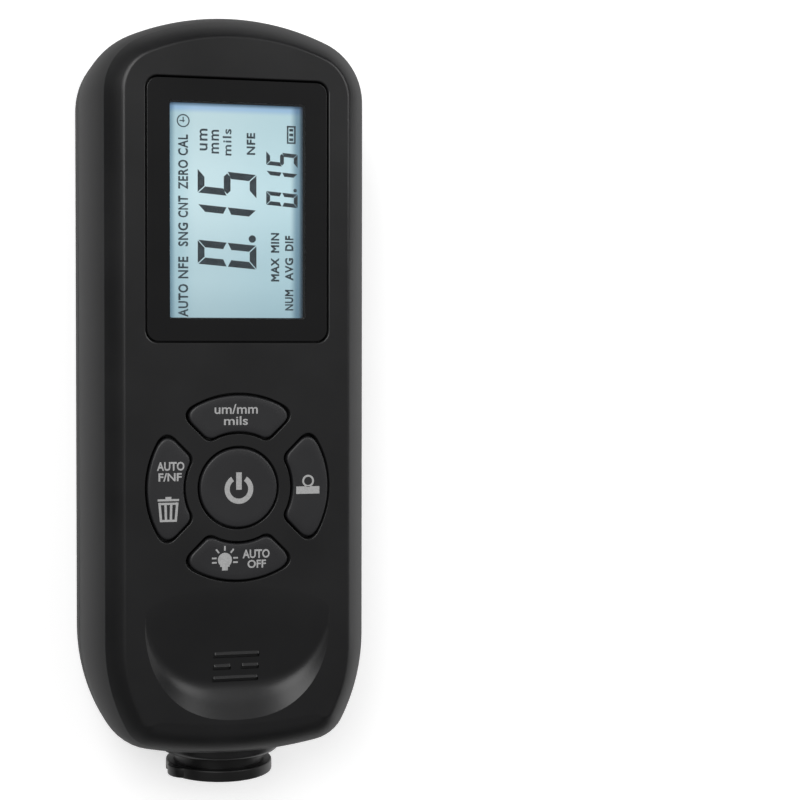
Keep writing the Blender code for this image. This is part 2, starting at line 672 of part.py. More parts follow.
def front_shell():
    """The front half of the housing, with the face, the flared sides and everything cut in them."""
    bm = bmesh.new()
    mid_inset = (FACE_INSET + EDGE_INSET) / 2
    edge_z = FACE_Z - EDGE_DROP
    flare = FLARE_DEPTH - EDGE_DROP
    housing_loft(
        bm,
        (
            (0.0, SEAM_Z + GAP / 2),
            (0.0, FACE_Z - FLARE_DEPTH),
            (EDGE_INSET * FLARE_LOW[0], edge_z - flare * FLARE_LOW[1]),
            (EDGE_INSET * FLARE_MIDDLE[0], edge_z - flare * FLARE_MIDDLE[1]),
            (EDGE_INSET * FLARE_HIGH[0], edge_z - flare * FLARE_HIGH[1]),
            (EDGE_INSET, edge_z),
            (mid_inset, FACE_Z - EDGE_DROP * BEVEL_MIDDLE),
            (FACE_INSET, FACE_Z),
        ),
    )
    shell = add_object("front_shell", bm, BLACK_ABS)

    bm = bmesh.new()
    add_box(bm, (-HALF_WIDTH, TIP_Y, -FACE_Z), (HALF_WIDTH, TOP_Y, SEAM_Z + GAP / 2))
    below_seam = add_object("below_seam", bm, helper=True)

    bm = bmesh.new()
    lip_z = SEAM_Z + LIP_HEIGHT + 2 * GAP
    housing_loft(
        bm,
        (
            (LIP_WALL, SEAM_Z - SIDE_WALL),
            (LIP_WALL, lip_z),
            (SIDE_WALL, lip_z),
            (SIDE_WALL, FACE_Z - FLARE_DEPTH),
            (SIDE_WALL + EDGE_INSET * FLARE_MIDDLE[0], edge_z - flare * FLARE_MIDDLE[1]),
            (SIDE_WALL + EDGE_INSET * FLARE_HIGH[0], edge_z - flare * FLARE_HIGH[1]),
            (EDGE_INSET + FACE_WALL, CEILING_Z),
        ),
    )
    cavity = add_object("front_cavity", bm, helper=True)
    underside = dish_solid("dish_underside", SIDE_WALL / 2, DISH_WALL, (0.6, 0.85, 0.96, 1.04), 20)
    boolean(cavity, underside, "DIFFERENCE")
    boolean(cavity, boss_solid("front_boss"), "DIFFERENCE")
    bm = bmesh.new()
    for x, y in SCREW_PLACES.values():
        add_cylinder(bm, FRONT_POST, (x, y, SEAM_Z + 2 * GAP), (x, y, FACE_Z), 20)
    boolean(cavity, add_object("front_posts", bm, helper=True), "DIFFERENCE")

    bm = bmesh.new()
    pocket = rounded_rectangle(WINDOW_WIDTH / 2, WINDOW_LENGTH / 2, WINDOW_CORNER, WINDOW_Y)
    opening = rounded_rectangle(LCD_HALF_WIDTH + GAP, LCD_HALF_LENGTH + GAP, LEDGE / 2, WINDOW_Y)
    levels = ((pocket, KEY_TOP_Z + GAP), (pocket, POCKET_Z), (opening, POCKET_Z), (opening, LCD_BOTTOM_Z))
    add_loft(bm, [at_height(points, z) for points, z in levels])
    for degrees in (None, *KEY_ANGLES.values()):
        if degrees is None:
            points = power_outline(KEY_GAP)
        else:
            points = turned_outline(key_outline(KEY_GAP), degrees)
        points = moved(points, 0.0, KEYS_Y)
        add_loft(bm, [at_height(points, z) for z in (LCD_BOTTOM_Z, KEY_TOP_Z + GAP)])
    screw_top = SCREW_HEAD_DEPTH + SCREW_HEAD_HEIGHT + SCREW_LENGTH + 2 * GAP
    for x, y in SCREW_PLACES.values():
        add_cylinder(bm, SCREW_SHANK + GAP, (x, y, 0), (x, y, screw_top), 12)
    openings = add_object("front_openings", bm, helper=True)

    boolean(shell, boss_solid("shell_boss"), "UNION")
    boolean(shell, below_seam, "DIFFERENCE")
    boolean(shell, cavity, "DIFFERENCE")
    dish = dish_solid("dish", 0.0, 0.0, (0.45, 0.68, 0.82, 0.91, 0.97, 1.04), 32)
    boolean(shell, dish, "DIFFERENCE")
    boolean(shell, openings, "DIFFERENCE")
    boolean(shell, collar_bore("front_collar_bore"), "DIFFERENCE")
    boolean(shell, housing_ribs(), "UNION")
    return shell


def collar_bore(name):
    bm = bmesh.new()
    start = (0, TIP_Y - GAP, PROBE_Z)
    add_cylinder(bm, NECK_RADIUS + GAP, start, (0, BOSS_END_Y + BOSS_LENGTH + GAP, PROBE_Z), 40)
    return add_object(name, bm, helper=True)


def rear_shell():
    """The back half of the housing: rounded back edges, a locating lip, the battery bay and screw posts."""
    round_steps = 4
    sections = []
    for i in range(round_steps + 1):
        angle = math.pi / 2 * i / round_steps
        inset = BACK_ROUND * (1 - math.sin(angle))
        sections.append((inset, BACK_ROUND * (1 - math.cos(angle))))
    lip = LIP_WALL + GAP
    top_z = SEAM_Z - GAP / 2
    sections += [(0.0, top_z), (lip, top_z), (lip, SEAM_Z + LIP_HEIGHT)]
    bm = bmesh.new()
    housing_loft(bm, sections)
    shell = add_object("rear_shell", bm, BLACK_ABS)

    bm = bmesh.new()
    low = (-BOSS_RADIUS - SIDE_WALL, TIP_Y, top_z)
    high = (BOSS_RADIUS + SIDE_WALL, BOSS_END_Y + BOSS_LENGTH + GAP, FACE_Z)
    add_box(bm, low, high)
    above_seam = add_object("above_seam", bm, helper=True)

    bm = bmesh.new()
    housing_loft(
        bm,
        (
            (SIDE_WALL * 1.6, SIDE_WALL),
            (SIDE_WALL, SIDE_WALL * 2),
            (SIDE_WALL, SEAM_Z + LIP_HEIGHT + SIDE_WALL),
        ),
    )
    cavity = add_object("rear_cavity", bm, helper=True)
    boolean(cavity, boss_solid("rear_boss"), "DIFFERENCE")
    bm = bmesh.new()
    for x, y in SCREW_PLACES.values():
        add_cylinder(bm, REAR_POST, (x, y, 0), (x, y, SEAM_Z + GAP), 20)
    boolean(cavity, add_object("rear_posts", bm, helper=True), "DIFFERENCE")

    bm = bmesh.new()
    outer_x = BAY_HALF_WIDTH + BAY_WALL
    bay_low = (-outer_x, BAY_BOTTOM_Y - BAY_WALL, SIDE_WALL / 2)
    add_box(bm, bay_low, (outer_x, BAY_TOP_Y + BAY_WALL, BAY_TOP_Z + BAY_WALL))
    bay = add_object("bay_walls", bm, helper=True)
    bm = bmesh.new()
    rim_x = DOOR_HALF_WIDTH + GAP + BAY_WALL
    rim_low = (-rim_x, DOOR_BOTTOM_Y - GAP - BAY_WALL, SIDE_WALL / 2)
    add_box(bm, rim_low, (rim_x, DOOR_TOP_Y + GAP + BAY_WALL, RECESS_Z + FRAME_RISE))
    rim = add_object("bay_rim", bm, helper=True)
    bm = bmesh.new()
    rib_x = BAY_HALF_WIDTH - BAY_WALL
    for y in (BAY_BOTTOM_Y + BAY_LENGTH / 4, BAY_TOP_Y - BAY_LENGTH / 4):
        rib_top = BOARD_BOTTOM_Z - GAP
        add_box(bm, (-rib_x, y - BAY_WALL / 2, BAY_TOP_Z), (rib_x, y + BAY_WALL / 2, rib_top))
    board_ribs = add_object("board_ribs", bm, helper=True)

    bm = bmesh.new()
    bay_room = (BAY_HALF_WIDTH, BAY_TOP_Y, BAY_TOP_Z)
    add_box(bm, (-BAY_HALF_WIDTH, BAY_BOTTOM_Y, -SIDE_WALL), bay_room)
    bay_space = add_object("bay_space", bm, helper=True)
    bm = bmesh.new()
    recess_low = (-DOOR_HALF_WIDTH - GAP, DOOR_BOTTOM_Y - GAP, -SIDE_WALL)
    recess_high = (DOOR_HALF_WIDTH + GAP, DOOR_TOP_Y + GAP, RECESS_Z)
    add_rounded_box(bm, recess_low, recess_high, DOOR_CORNER + GAP)
    recess = add_object("door_recess", bm, helper=True)
    bm = bmesh.new()
    for side in (-1, 1):
        x = side * TAB_SPREAD
        half = TAB_WIDTH / 2 + GAP
        slot_low = (x - half, BAY_TOP_Y - BAY_WALL, TAB_BOTTOM - GAP)
        slot_high = (x + half, DOOR_TOP_Y + TAB_REACH + 2 * GAP, TAB_TOP + 4 * GAP)
        add_box(bm, slot_low, slot_high)
    slots = add_object("tab_slots", bm, helper=True)
    bm = bmesh.new()
    bore_top = SEAM_Z + LIP_HEIGHT
    head_top = SCREW_HEAD_DEPTH + SCREW_HEAD_HEIGHT + GAP
    for x, y in SCREW_PLACES.values():
        outer = circle(SCREW_HEAD + GAP, 14)
        inner = circle(SCREW_SHANK + GAP, 14)
        levels = ((outer, -SIDE_WALL), (outer, head_top), (inner, head_top), (inner, bore_top))
        add_loft(bm, [at_height(moved(points, x, y), z) for points, z in levels])
    bores = add_object("rear_bores", bm, helper=True)

    boolean(shell, boss_solid("rear_shell_boss"), "UNION")
    boolean(shell, above_seam, "DIFFERENCE")
    boolean(shell, cavity, "DIFFERENCE")
    boolean(shell, bay, "UNION")
    boolean(shell, rim, "UNION")
    boolean(shell, board_ribs, "UNION")
    for cutter in (bay_space, recess, slots, bores, collar_bore("rear_collar_bore")):
        boolean(shell, cutter, "DIFFERENCE")
    return shell


def battery_door():
    """The lid of the battery bay, with two tabs it tilts on, a latch tongue and grip grooves.

    Its origin is on the line that it tilts about, at the outer edge of its upper end.
    """
    pivot = (0.0, DOOR_TOP_Y, DOOR_RAISED)
    bm = bmesh.new()
    length = DOOR_TOP_Y - DOOR_BOTTOM_Y
    add_rounded_box(bm, (-DOOR_HALF_WIDTH, -length, 0), (DOOR_HALF_WIDTH, 0, DOOR_THICK), DOOR_CORNER)
    door = add_object("battery_door", bm, BLACK_ABS, pivot)
    bm = bmesh.new()
    for side in (-1, 1):
        x = side * TAB_SPREAD
        half = TAB_WIDTH / 2
        root = BAY_TOP_Y - BAY_WALL + GAP - DOOR_TOP_Y
        low_z = DOOR_THICK / 2
        profile = (
            (root, low_z),
            (-GAP, low_z),
            (-GAP, TAB_BOTTOM - DOOR_RAISED),
            (TAB_REACH - GAP, TAB_BOTTOM - DOOR_RAISED),
            (TAB_REACH - GAP, TAB_TOP - DOOR_RAISED),
            (root, TAB_TOP - DOOR_RAISED),
        )
        add_loft(bm, [[(x + shift, y, z) for y, z in profile] for shift in (-half, half)])
    boolean(door, add_object("door_tabs", bm, place=pivot, helper=True), "UNION")
    bm = bmesh.new()
    tongue_y = BAY_BOTTOM_Y + 2 * GAP - DOOR_TOP_Y
    tongue_low = (-TONGUE_HALF_WIDTH, tongue_y, DOOR_THICK / 2)
    tongue_top = CELL_Z - CONTACT_WIDTH / 2 - GAP - DOOR_RAISED
    add_box(bm, tongue_low, (TONGUE_HALF_WIDTH, tongue_y + BAY_WALL, tongue_top))
    boolean(door, add_object("door_tongue", bm, place=pivot, helper=True), "UNION")
    bm = bmesh.new()
    for i in range(GRIP_RIBS):
        y = -length + DOOR_CORNER + GRIP_SPACING * (i + 0.5)
        low = (-GRIP_WIDTH / 2, y - GRIP_SPACING / 4, -GRIP_DEPTH)
        add_box(bm, low, (GRIP_WIDTH / 2, y + GRIP_SPACING / 4, GRIP_DEPTH))
    boolean(door, add_object("door_grip", bm, place=pivot, helper=True), "DIFFERENCE")
    return door


def display():
    """The window in the face, and the display, light guide and holder behind it."""
    bm = bmesh.new()
    half_x = WINDOW_WIDTH / 2 - GAP
    half_y = WINDOW_LENGTH / 2 - GAP
    plate = rounded_rectangle(half_x, half_y, WINDOW_CORNER - GAP, WINDOW_Y)
    add_loft(bm, [at_height(plate, z) for z in (WINDOW_BOTTOM_Z, WINDOW_TOP_Z)])
    add_object("display_window", bm, ACRYLIC)

    bm = bmesh.new()
    low = (-LCD_HALF_WIDTH, WINDOW_Y - LCD_HALF_LENGTH, LCD_BOTTOM_Z)
    add_rounded_box(bm, low, (LCD_HALF_WIDTH, WINDOW_Y + LCD_HALF_LENGTH, LCD_TOP_Z), LEDGE / 2)
    add_object("lcd_panel", bm, LCD_GLASS)

    guide_x = LCD_HALF_WIDTH - BACKLIGHT_MARGIN
    guide_y = LCD_HALF_LENGTH - CONNECTOR_THICK - 3 * GAP
    bm = bmesh.new()
    low = (-guide_x, WINDOW_Y - guide_y, BACKLIGHT_BOTTOM_Z)
    add_box(bm, low, (guide_x, WINDOW_Y + guide_y, BACKLIGHT_TOP_Z))
    add_object("lcd_backlight", bm, LIGHT_GUIDE)

    bm = bmesh.new()
    pocket_x = LCD_HALF_WIDTH + GAP
    pocket_y = LCD_HALF_LENGTH + GAP
    outer_x = pocket_x + FRAME_WALL
    outer_y = pocket_y + FRAME_WALL
    frame_top = CEILING_Z - GAP
    frame_bottom = BACKLIGHT_BOTTOM_Z - GAP - FRAME_FLOOR
    low = (-outer_x, WINDOW_Y - outer_y, frame_bottom)
    add_rounded_box(bm, low, (outer_x, WINDOW_Y + outer_y, frame_top), FRAME_WALL)
    frame = add_object("lcd_frame", bm, WHITE_ABS)
    bm = bmesh.new()
    low = (-pocket_x, WINDOW_Y - pocket_y, BACKLIGHT_BOTTOM_Z - GAP)
    add_box(bm, low, (pocket_x, WINDOW_Y + pocket_y, frame_top + FRAME_WALL))
    boolean(frame, add_object("frame_pocket", bm, helper=True), "DIFFERENCE")
    bm = bmesh.new()
    slot_y = WINDOW_Y - guide_y - GAP
    slot_x = CONNECTOR_WIDTH / 2 + GAP
    low = (-slot_x, slot_y - CONNECTOR_THICK - 2 * GAP, frame_bottom - FRAME_WALL)
    add_box(bm, low, (slot_x, slot_y, BACKLIGHT_BOTTOM_Z))
    boolean(frame, add_object("frame_slot", bm, helper=True), "DIFFERENCE")

    bm = bmesh.new()
    strip_y = slot_y - GAP
    low = (-CONNECTOR_WIDTH / 2, strip_y - CONNECTOR_THICK, BOARD_TOP_Z + GAP)
    add_box(bm, low, (CONNECTOR_WIDTH / 2, strip_y, LCD_BOTTOM_Z - GAP))
    add_object("lcd_connector", bm, SILICONE)


def circuit_board():
    """The board across the housing, and the parts on its underside above the empty lower bay."""
    bm = bmesh.new()
    low = (-BOARD_HALF_WIDTH, BOARD_BOTTOM_Y, BOARD_BOTTOM_Z)
    add_rounded_box(bm, low, (BOARD_HALF_WIDTH, BOARD_TOP_Y, BOARD_TOP_Z), STEM_RADIUS)
    add_object("circuit_board", bm, EPOXY_GREEN)
    under = BOARD_BOTTOM_Z - GAP
    half = CHIP_SIZE / 2
    bm = bmesh.new()
    add_box(bm, (-half, KEYS_Y - half, under - CHIP_THICK), (half, KEYS_Y + half, under))
    add_object("microcontroller", bm, CHIP_BLACK)
    bm = bmesh.new()
    x = BOARD_HALF_WIDTH - BUZZER_RADIUS - BAY_WALL
    y = KEYS_Y - RING_OUTER
    add_cylinder(bm, BUZZER_RADIUS, (x, y, under - BUZZER_HEIGHT), (x, y, under), 32)
    add_object("buzzer", bm, CHIP_BLACK)
    width, depth, height = SOCKET_SIZE
    bm = bmesh.new()
    socket_y = BOARD_BOTTOM_Y + GAP
    low = (-width / 2, socket_y, under - height)
    add_box(bm, low, (width / 2, socket_y + depth, under))
    add_object("probe_socket", bm, WHITE_ABS)


def probe_collar():
    """The fixed sleeve of the probe: a flange with two wings and a vee across it, and a long tube."""
    back = COLLAR_WALL_Y + COLLAR_BACK - FLANGE_FRONT_Y
    neck = FLANGE_BACK_Y - FLANGE_FRONT_Y
    ring_start = BOSS_END_Y + BOSS_LENGTH + GAP - FLANGE_FRONT_Y
    profile = (
        (0.0, back),
        (NECK_RADIUS, back),
        (NECK_RADIUS, ring_start + RETAINING_THICK),
        (RETAINING_RING, ring_start + RETAINING_THICK),
        (RETAINING_RING, ring_start),
        (NECK_RADIUS, ring_start),
        (NECK_RADIUS, neck),
        (FLANGE_RADIUS - COLLAR_EDGE, neck),
        (FLANGE_RADIUS, neck - COLLAR_EDGE),
        (FLANGE_RADIUS, COLLAR_EDGE),
        (FLANGE_RADIUS - COLLAR_EDGE, 0.0),
        (0.0, 0.0),
    )
    place = (0, FLANGE_FRONT_Y, PROBE_Z)
    collar = turned("probe_collar", profile, place, PROBE_ABS, segments=36)
    bm = bmesh.new()
    for side in (0, math.pi):
        angle = math.pi - LOBE_TURN + side
        x = LOBE_OFFSET * math.cos(angle)
        z = PROBE_Z + LOBE_OFFSET * math.sin(angle)
        start = (x, FLANGE_FRONT_Y + COLLAR_EDGE / 2, z)
        add_cylinder(bm, LOBE_RADIUS, start, (x, FLANGE_BACK_Y - COLLAR_EDGE / 2, z), 20)
    boolean(collar, add_object("collar_wings", bm, helper=True), "UNION")
    bm = bmesh.new()
    reach = FLANGE_RADIUS + LOBE_RADIUS
    vee = (
        (FLANGE_FRONT_Y - GAP, PROBE_Z - VEE_DEPTH - GAP),
        (FLANGE_FRONT_Y - GAP, PROBE_Z + VEE_DEPTH + GAP),
        (FLANGE_FRONT_Y + VEE_DEPTH, PROBE_Z),
    )
    add_loft(bm, [[(x, y, z) for y, z in vee] for x in (-reach, reach)])
    boolean(collar, add_object("collar_vee", bm, helper=True), "DIFFERENCE")
    mouth = HEAD_STEP / 2
    stop = STOP_Y - FLANGE_FRONT_Y
    inner_back = COLLAR_WALL_Y - FLANGE_FRONT_Y
    hole = TAIL_RADIUS + GAP
    bore = (
        (0.0, inner_back + COLLAR_BACK + GAP),
        (hole, inner_back + COLLAR_BACK + GAP),
        (hole, inner_back),
        (PROBE_BORE, inner_back),
        (PROBE_BORE, stop + STOP_THICK),
        (STOP_BORE, stop + STOP_THICK),
        (STOP_BORE, stop),
        (PROBE_BORE, stop),
        (PROBE_BORE, mouth),
        (PROBE_BORE + mouth, 0.0),
        (PROBE_BORE + mouth, -GAP),
        (0.0, -GAP),
    )
    boolean(collar, turned("collar_inside", bore, place, segments=28, helper=True), "DIFFERENCE")


def probe_head():
    """The sensor head that moves in the collar: a stepped face with a small dome, and the core."""
    face = DOME_PROUD
    neck_start = face + HEAD_THICK
    core_start = RETAINER_Y - GAP - TIP_Y
    core_end = SPRING_Y - GAP - TIP_Y
    tail_end = core_end + SPRING_LENGTH + TAIL_LENGTH
    step = HEAD_RADIUS - HEAD_STEP
    profile = [
        (0.0, tail_end),
        (TAIL_RADIUS, tail_end),
        (TAIL_RADIUS, core_end),
        (CORE_RADIUS, core_end),
        (CORE_RADIUS, core_start),
        (HEAD_NECK, core_start),
        (HEAD_NECK, neck_start),
        (HEAD_RADIUS, neck_start),
        (HEAD_RADIUS, face + HEAD_GROOVE),
        (HEAD_RADIUS - HEAD_GROOVE, face),
        (step + HEAD_GROOVE, face),
        (step + HEAD_GROOVE, face + HEAD_GROOVE),
        (step, face + HEAD_GROOVE),
        (step - HEAD_GROOVE / 2, face),
        (DOME_RADIUS, face),
    ]
    for degrees in (30, 60):
        angle = math.radians(degrees)
        profile.append((DOME_RADIUS * math.cos(angle), face - DOME_PROUD * math.sin(angle)))
    profile.append((0.0, 0.0))
    turned("probe_head", profile, (0, TIP_Y, PROBE_Z), PROBE_ABS, segments=28)


def probe_inside():
    """The ring that keeps the head in the collar, the winding round its core and the return spring."""
    bore = CORE_RADIUS + GAP
    ring = (
        (RETAINER_RADIUS, RETAINER_THICK),
        (RETAINER_RADIUS, 0.0),
        (bore, 0.0),
        (bore, RETAINER_THICK),
    )
    turned("probe_retainer", ring, (0, RETAINER_Y, PROBE_Z), STEEL, segments=20)
    winding = (
        (COIL_RADIUS, COIL_LENGTH),
        (COIL_RADIUS, 0.0),
        (bore, 0.0),
        (bore, COIL_LENGTH),
    )
    turned("probe_coil", winding, (0, COIL_Y, PROBE_Z), COPPER, segments=20)
    wire = SPRING_WIRE
    points = coil_points(SPRING_RADIUS, SPRING_LENGTH - 2 * wire, SPRING_TURNS)
    tube("probe_spring", points, wire, STEEL, (0, SPRING_Y + wire, PROBE_Z))
    lead_start = COLLAR_WALL_Y + COLLAR_BACK
    radius = LEAD_RADIUS
    start_x = TAIL_RADIUS + 2 * GAP + radius
    rise = BOARD_BOTTOM_Z - GAP - SOCKET_SIZE[2] / 2 - PROBE_Z
    start_y = lead_start + GAP
    run = BOARD_BOTTOM_Y - start_y
    points = []
    for i in range(LEAD_STEPS + 1):
        t = i / LEAD_STEPS
        ease = t * t * (3 - 2 * t)
        points.append((start_x, start_y + run * t, PROBE_Z + rise * ease))
    tube("probe_lead", points, radius, LEAD_PVC)


def batteries():
    """Two cells side by side, pointing opposite ways, with their springs and contact plates."""
    nub_profile = (
        (0.0, CELL_LENGTH + CELL_NUB),
        (CELL_NUB_RADIUS, CELL_LENGTH + CELL_NUB),
        (CELL_NUB_RADIUS, CELL_LENGTH),
        (CELL_RADIUS - GAP, CELL_LENGTH),
        (CELL_RADIUS, CELL_LENGTH - GAP),
        (CELL_RADIUS, GAP),
        (CELL_RADIUS - GAP, 0.0),
        (0.0, 0.0),
    )
    plate = CONTACT_THICK + GAP
    left_start = BAY_BOTTOM_Y + GAP + plate + CONTACT_SPRING + GAP
    turned("battery_cell_left", nub_profile, (-CELL_X, left_start, CELL_Z), CELL_WRAP, segments=20)
    right = turned("battery_cell_right", nub_profile, (0, 0, 0), CELL_WRAP, segments=20)
    right.location = (CELL_X, BAY_TOP_Y - GAP - plate - CONTACT_SPRING - GAP, CELL_Z)
    right.rotation_euler = (math.pi / 2, 0.0, 0.0)
    wire = CONTACT_WIRE
    length = CONTACT_SPRING - 2 * wire
    points = coil_points(CONTACT_COIL_WIDE, length, CONTACT_TURNS, end_radius=CONTACT_COIL_NARROW)
    tube("battery_spring_left", points, wire, STEEL, (-CELL_X, BAY_BOTTOM_Y + GAP + plate + wire, CELL_Z))
    spring = tube("battery_spring_right", points, wire, STEEL)
    spring.location = (CELL_X, BAY_TOP_Y - GAP - plate - wire, CELL_Z)
    spring.rotation_euler = (0.0, 0.0, math.pi)
    half = CONTACT_WIDTH / 2
    low_z = CELL_Z - half
    high_z = CELL_Z + half
    for name, x in (("contact_negative", -CELL_X), ("contact_positive", CELL_X)):
        bm = bmesh.new()
        low = (x - half, BAY_BOTTOM_Y + GAP, low_z)
        add_box(bm, low, (x + half, BAY_BOTTOM_Y + GAP + CONTACT_THICK, high_z))
        add_object(name, bm, NICKEL)
    bm = bmesh.new()
    low = (-CELL_X - half, BAY_TOP_Y - GAP - CONTACT_THICK, low_z)
    add_box(bm, low, (CELL_X + half, BAY_TOP_Y - GAP, high_z))
    add_object("contact_bridge", bm, NICKEL)


def case_screws():
    """Pan-head screws from the back, with a cross slot in each head."""
    for name, (x, y) in SCREW_PLACES.items():
        bm = bmesh.new()
        head_low = SCREW_HEAD_DEPTH
        head_high = head_low + SCREW_HEAD_HEIGHT
        head = circle(SCREW_HEAD, 12)
        crown = circle(SCREW_CROWN, 12)
        shank = circle(SCREW_SHANK, 12)
        point = circle(SCREW_POINT, 12)
        tip = head_high + SCREW_LENGTH
        levels = (
            (crown, 0.0),
            (head, SCREW_HEAD_HEIGHT / 2),
            (head, SCREW_HEAD_HEIGHT),
            (shank, SCREW_HEAD_HEIGHT),
            (shank, tip - head_low - SCREW_SHANK),
            (point, tip - head_low),
        )
        add_loft(bm, [at_height(points, z) for points, z in levels])
        screw = add_object(name, bm, STEEL, (x, y, head_low))
        slot = bmesh.new()
        half = CROSS_REACH
        narrow = CROSS_HALF_WIDTH
        depth = SCREW_HEAD_HEIGHT / 2
        cross = ((half, narrow), (narrow, narrow), (narrow, half), (-narrow, half))
        cross += ((-narrow, narrow), (-half, narrow))
        outline = list(cross) + [(-px, -py) for px, py in cross]
        add_loft(slot, [at_height(outline, z) for z in (-depth, depth)])
        boolean(screw, add_object(f"{name}_slot", slot, place=(x, y, head_low), helper=True), "DIFFERENCE")


front_shell()
rear_shell()
battery_door()
display()
add_keys()
circuit_board()
probe_collar()
probe_head()
probe_inside()
batteries()
case_screws()
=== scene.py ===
"""The looks of a handheld coating thickness gauge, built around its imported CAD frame.

The gauge lies on its back. +Z points out of the display face, +Y toward the display end and +X to the
right as the face is seen, so the probe points along -Y. All lengths are in metres, written as millimetres
times MM. Each sub-assembly is a class that models its pieces and dresses them.
"""

from __future__ import annotations

import logging
import math
from collections.abc import Callable, Sequence
from dataclasses import dataclass, field
from enum import Enum

import bmesh
import bpy
from bmesh.types import BMEdge, BMesh, BMVert
from bpy.types import Material, Node, NodeSocket, NodeTree, Object
from mathutils import Matrix, Vector


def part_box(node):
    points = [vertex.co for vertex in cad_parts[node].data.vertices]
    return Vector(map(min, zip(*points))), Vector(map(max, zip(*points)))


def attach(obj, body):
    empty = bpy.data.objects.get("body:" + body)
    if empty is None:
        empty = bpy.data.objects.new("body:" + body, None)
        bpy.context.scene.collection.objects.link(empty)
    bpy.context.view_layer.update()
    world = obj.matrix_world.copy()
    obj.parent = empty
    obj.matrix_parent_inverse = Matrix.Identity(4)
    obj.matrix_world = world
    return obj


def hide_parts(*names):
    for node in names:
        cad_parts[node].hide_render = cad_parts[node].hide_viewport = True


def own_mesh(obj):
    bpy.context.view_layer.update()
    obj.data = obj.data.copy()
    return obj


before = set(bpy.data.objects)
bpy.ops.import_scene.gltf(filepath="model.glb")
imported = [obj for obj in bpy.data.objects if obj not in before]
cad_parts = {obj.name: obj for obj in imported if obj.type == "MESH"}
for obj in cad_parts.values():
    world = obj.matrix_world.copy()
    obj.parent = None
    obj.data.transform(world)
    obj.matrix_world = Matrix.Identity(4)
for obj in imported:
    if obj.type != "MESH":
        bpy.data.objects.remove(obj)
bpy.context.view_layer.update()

LOG = logging.getLogger("gauge")
MM = 0.001
GAP = 0.3 * MM
MERGE_DISTANCE = 0.001 * MM
# Share of an edge's radius at which the middle point of its rounding lies
ARRIS = 0.3

FACE_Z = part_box("front_shell")[1].z
SEAM_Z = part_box("front_shell")[0].z - GAP / 2
TOP_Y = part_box("front_shell")[1].y
TIP_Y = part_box("probe_head")[0].y
BOSS_END_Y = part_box("front_shell")[0].y
HALF_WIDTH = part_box("front_shell")[1].x
KEYS_Y = (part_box("power_key")[0].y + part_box("power_key")[1].y) / 2
WINDOW_Y = (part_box("display_window")[0].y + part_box("display_window")[1].y) / 2
PROBE_Z = (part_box("probe_head")[0].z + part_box("probe_head")[1].z) / 2
SCREW_NODES = ("case_screw_1", "case_screw_2", "case_screw_3", "case_screw_4")


class Body(Enum):
    """The CAD bodies that pieces ride on."""

    HOUSING = "housing"
    POWER = "power_button"
    UNITS = "units_button"
    MODE = "mode_button"
    LIGHT = "light_button"
    ZERO = "zero_button"
    SENSOR = "sensor"
    DOOR = "door"


class Operation(Enum):
    """What one solid does to another."""

    CUT = "DIFFERENCE"
    JOIN = "UNION"


Carving = tuple[Operation, BMesh]


def cut(tool: BMesh) -> Carving:
    """Returns the step that cuts a solid away."""
    return Operation.CUT, tool


def join(tool: BMesh) -> Carving:
    """Returns the step that joins a solid on."""
    return Operation.JOIN, tool


def middle(node: str) -> Vector:
    """Returns the middle of a CAD node's box.

    Args:
        node: The name of the CAD node.

    Returns:
        The point half way between its lowest and highest corners.
    """
    low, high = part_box(node)
    return (low + high) / 2


def smoothstep(value: float) -> float:
    """Eases a share from 0 to 1, level at both ends.

    Args:
        value: Any number. It is held between 0 and 1.

    Returns:
        The eased share.
    """
    share = min(max(value, 0.0), 1.0)
    return share * share * (3.0 - 2.0 * share)


def mix(first: float, second: float, share: float) -> float:
    """Blends two numbers.

    Args:
        first: The number at share 0.
        second: The number at share 1.
        share: How far to go from the first to the second.

    Returns:
        The number between them.
    """
    return first + (second - first) * share


def level_with(point: Vector, z: float) -> Vector:
    """Returns the point straight above or below another one, at height z."""
    return Vector((point.x, point.y, z))


def quarter_round(steps: int) -> list[tuple[float, float]]:
    """Lists points of a quarter circle of radius 1.

    Args:
        steps: The number of spaces between them.

    Returns:
        Pairs of distances from the two lines that it joins, from (0, 1) to (1, 0).
    """
    turns = [math.radians(90.0 * index / steps) for index in range(steps + 1)]
    return [(1.0 - math.cos(turn), 1.0 - math.sin(turn)) for turn in turns]


# Meshes


def loft(rings: Sequence[Sequence[Vector]], capped: bool = True) -> BMesh:
    """Makes a skin by extruding a circle of edges from ring to ring.

    Args:
        rings: Closed rings of points, all with the same count.
        capped: Whether the first and last rings are filled.

    Returns:
        The skin.
    """
    bm = bmesh.new()
    bmesh.ops.create_circle(bm, cap_ends=False, radius=1.0, segments=len(rings[0]))
    order = bm.verts.layers.int.new("order")
    for index, vert in enumerate(bm.verts):
        vert[order] = index
        vert.co = rings[0][index]
    edges = list(bm.edges)
    if capped:
        bmesh.ops.edgeloop_fill(bm, edges=edges)
    for ring in rings[1:]:
        made = bmesh.ops.extrude_edge_only(bm, edges=edges)["geom"]
        verts = {item for item in made if isinstance(item, BMVert)}
        for vert in verts:
            vert.co = ring[vert[order]]
        edges = [item for item in made if isinstance(item, BMEdge) and set(item.verts) <= verts]
    if capped:
        bmesh.ops.edgeloop_fill(bm, edges=edges)
    bmesh.ops.recalc_face_normals(bm, faces=bm.faces)
    return bm


def box(low: Sequence[float], high: Sequence[float]) -> BMesh:
    """Makes a box between two corners.

    Args:
        low: The lowest corner.
        high: The highest corner.

    Returns:
        The box.
    """
    bm = bmesh.new()
    size = [b - a for a, b in zip(low, high)]
    place = Matrix.Translation([(a + b) / 2 for a, b in zip(low, high)])
    bmesh.ops.create_cube(bm, size=1.0, matrix=place @ Matrix.Diagonal((*size, 1.0)))
    return bm


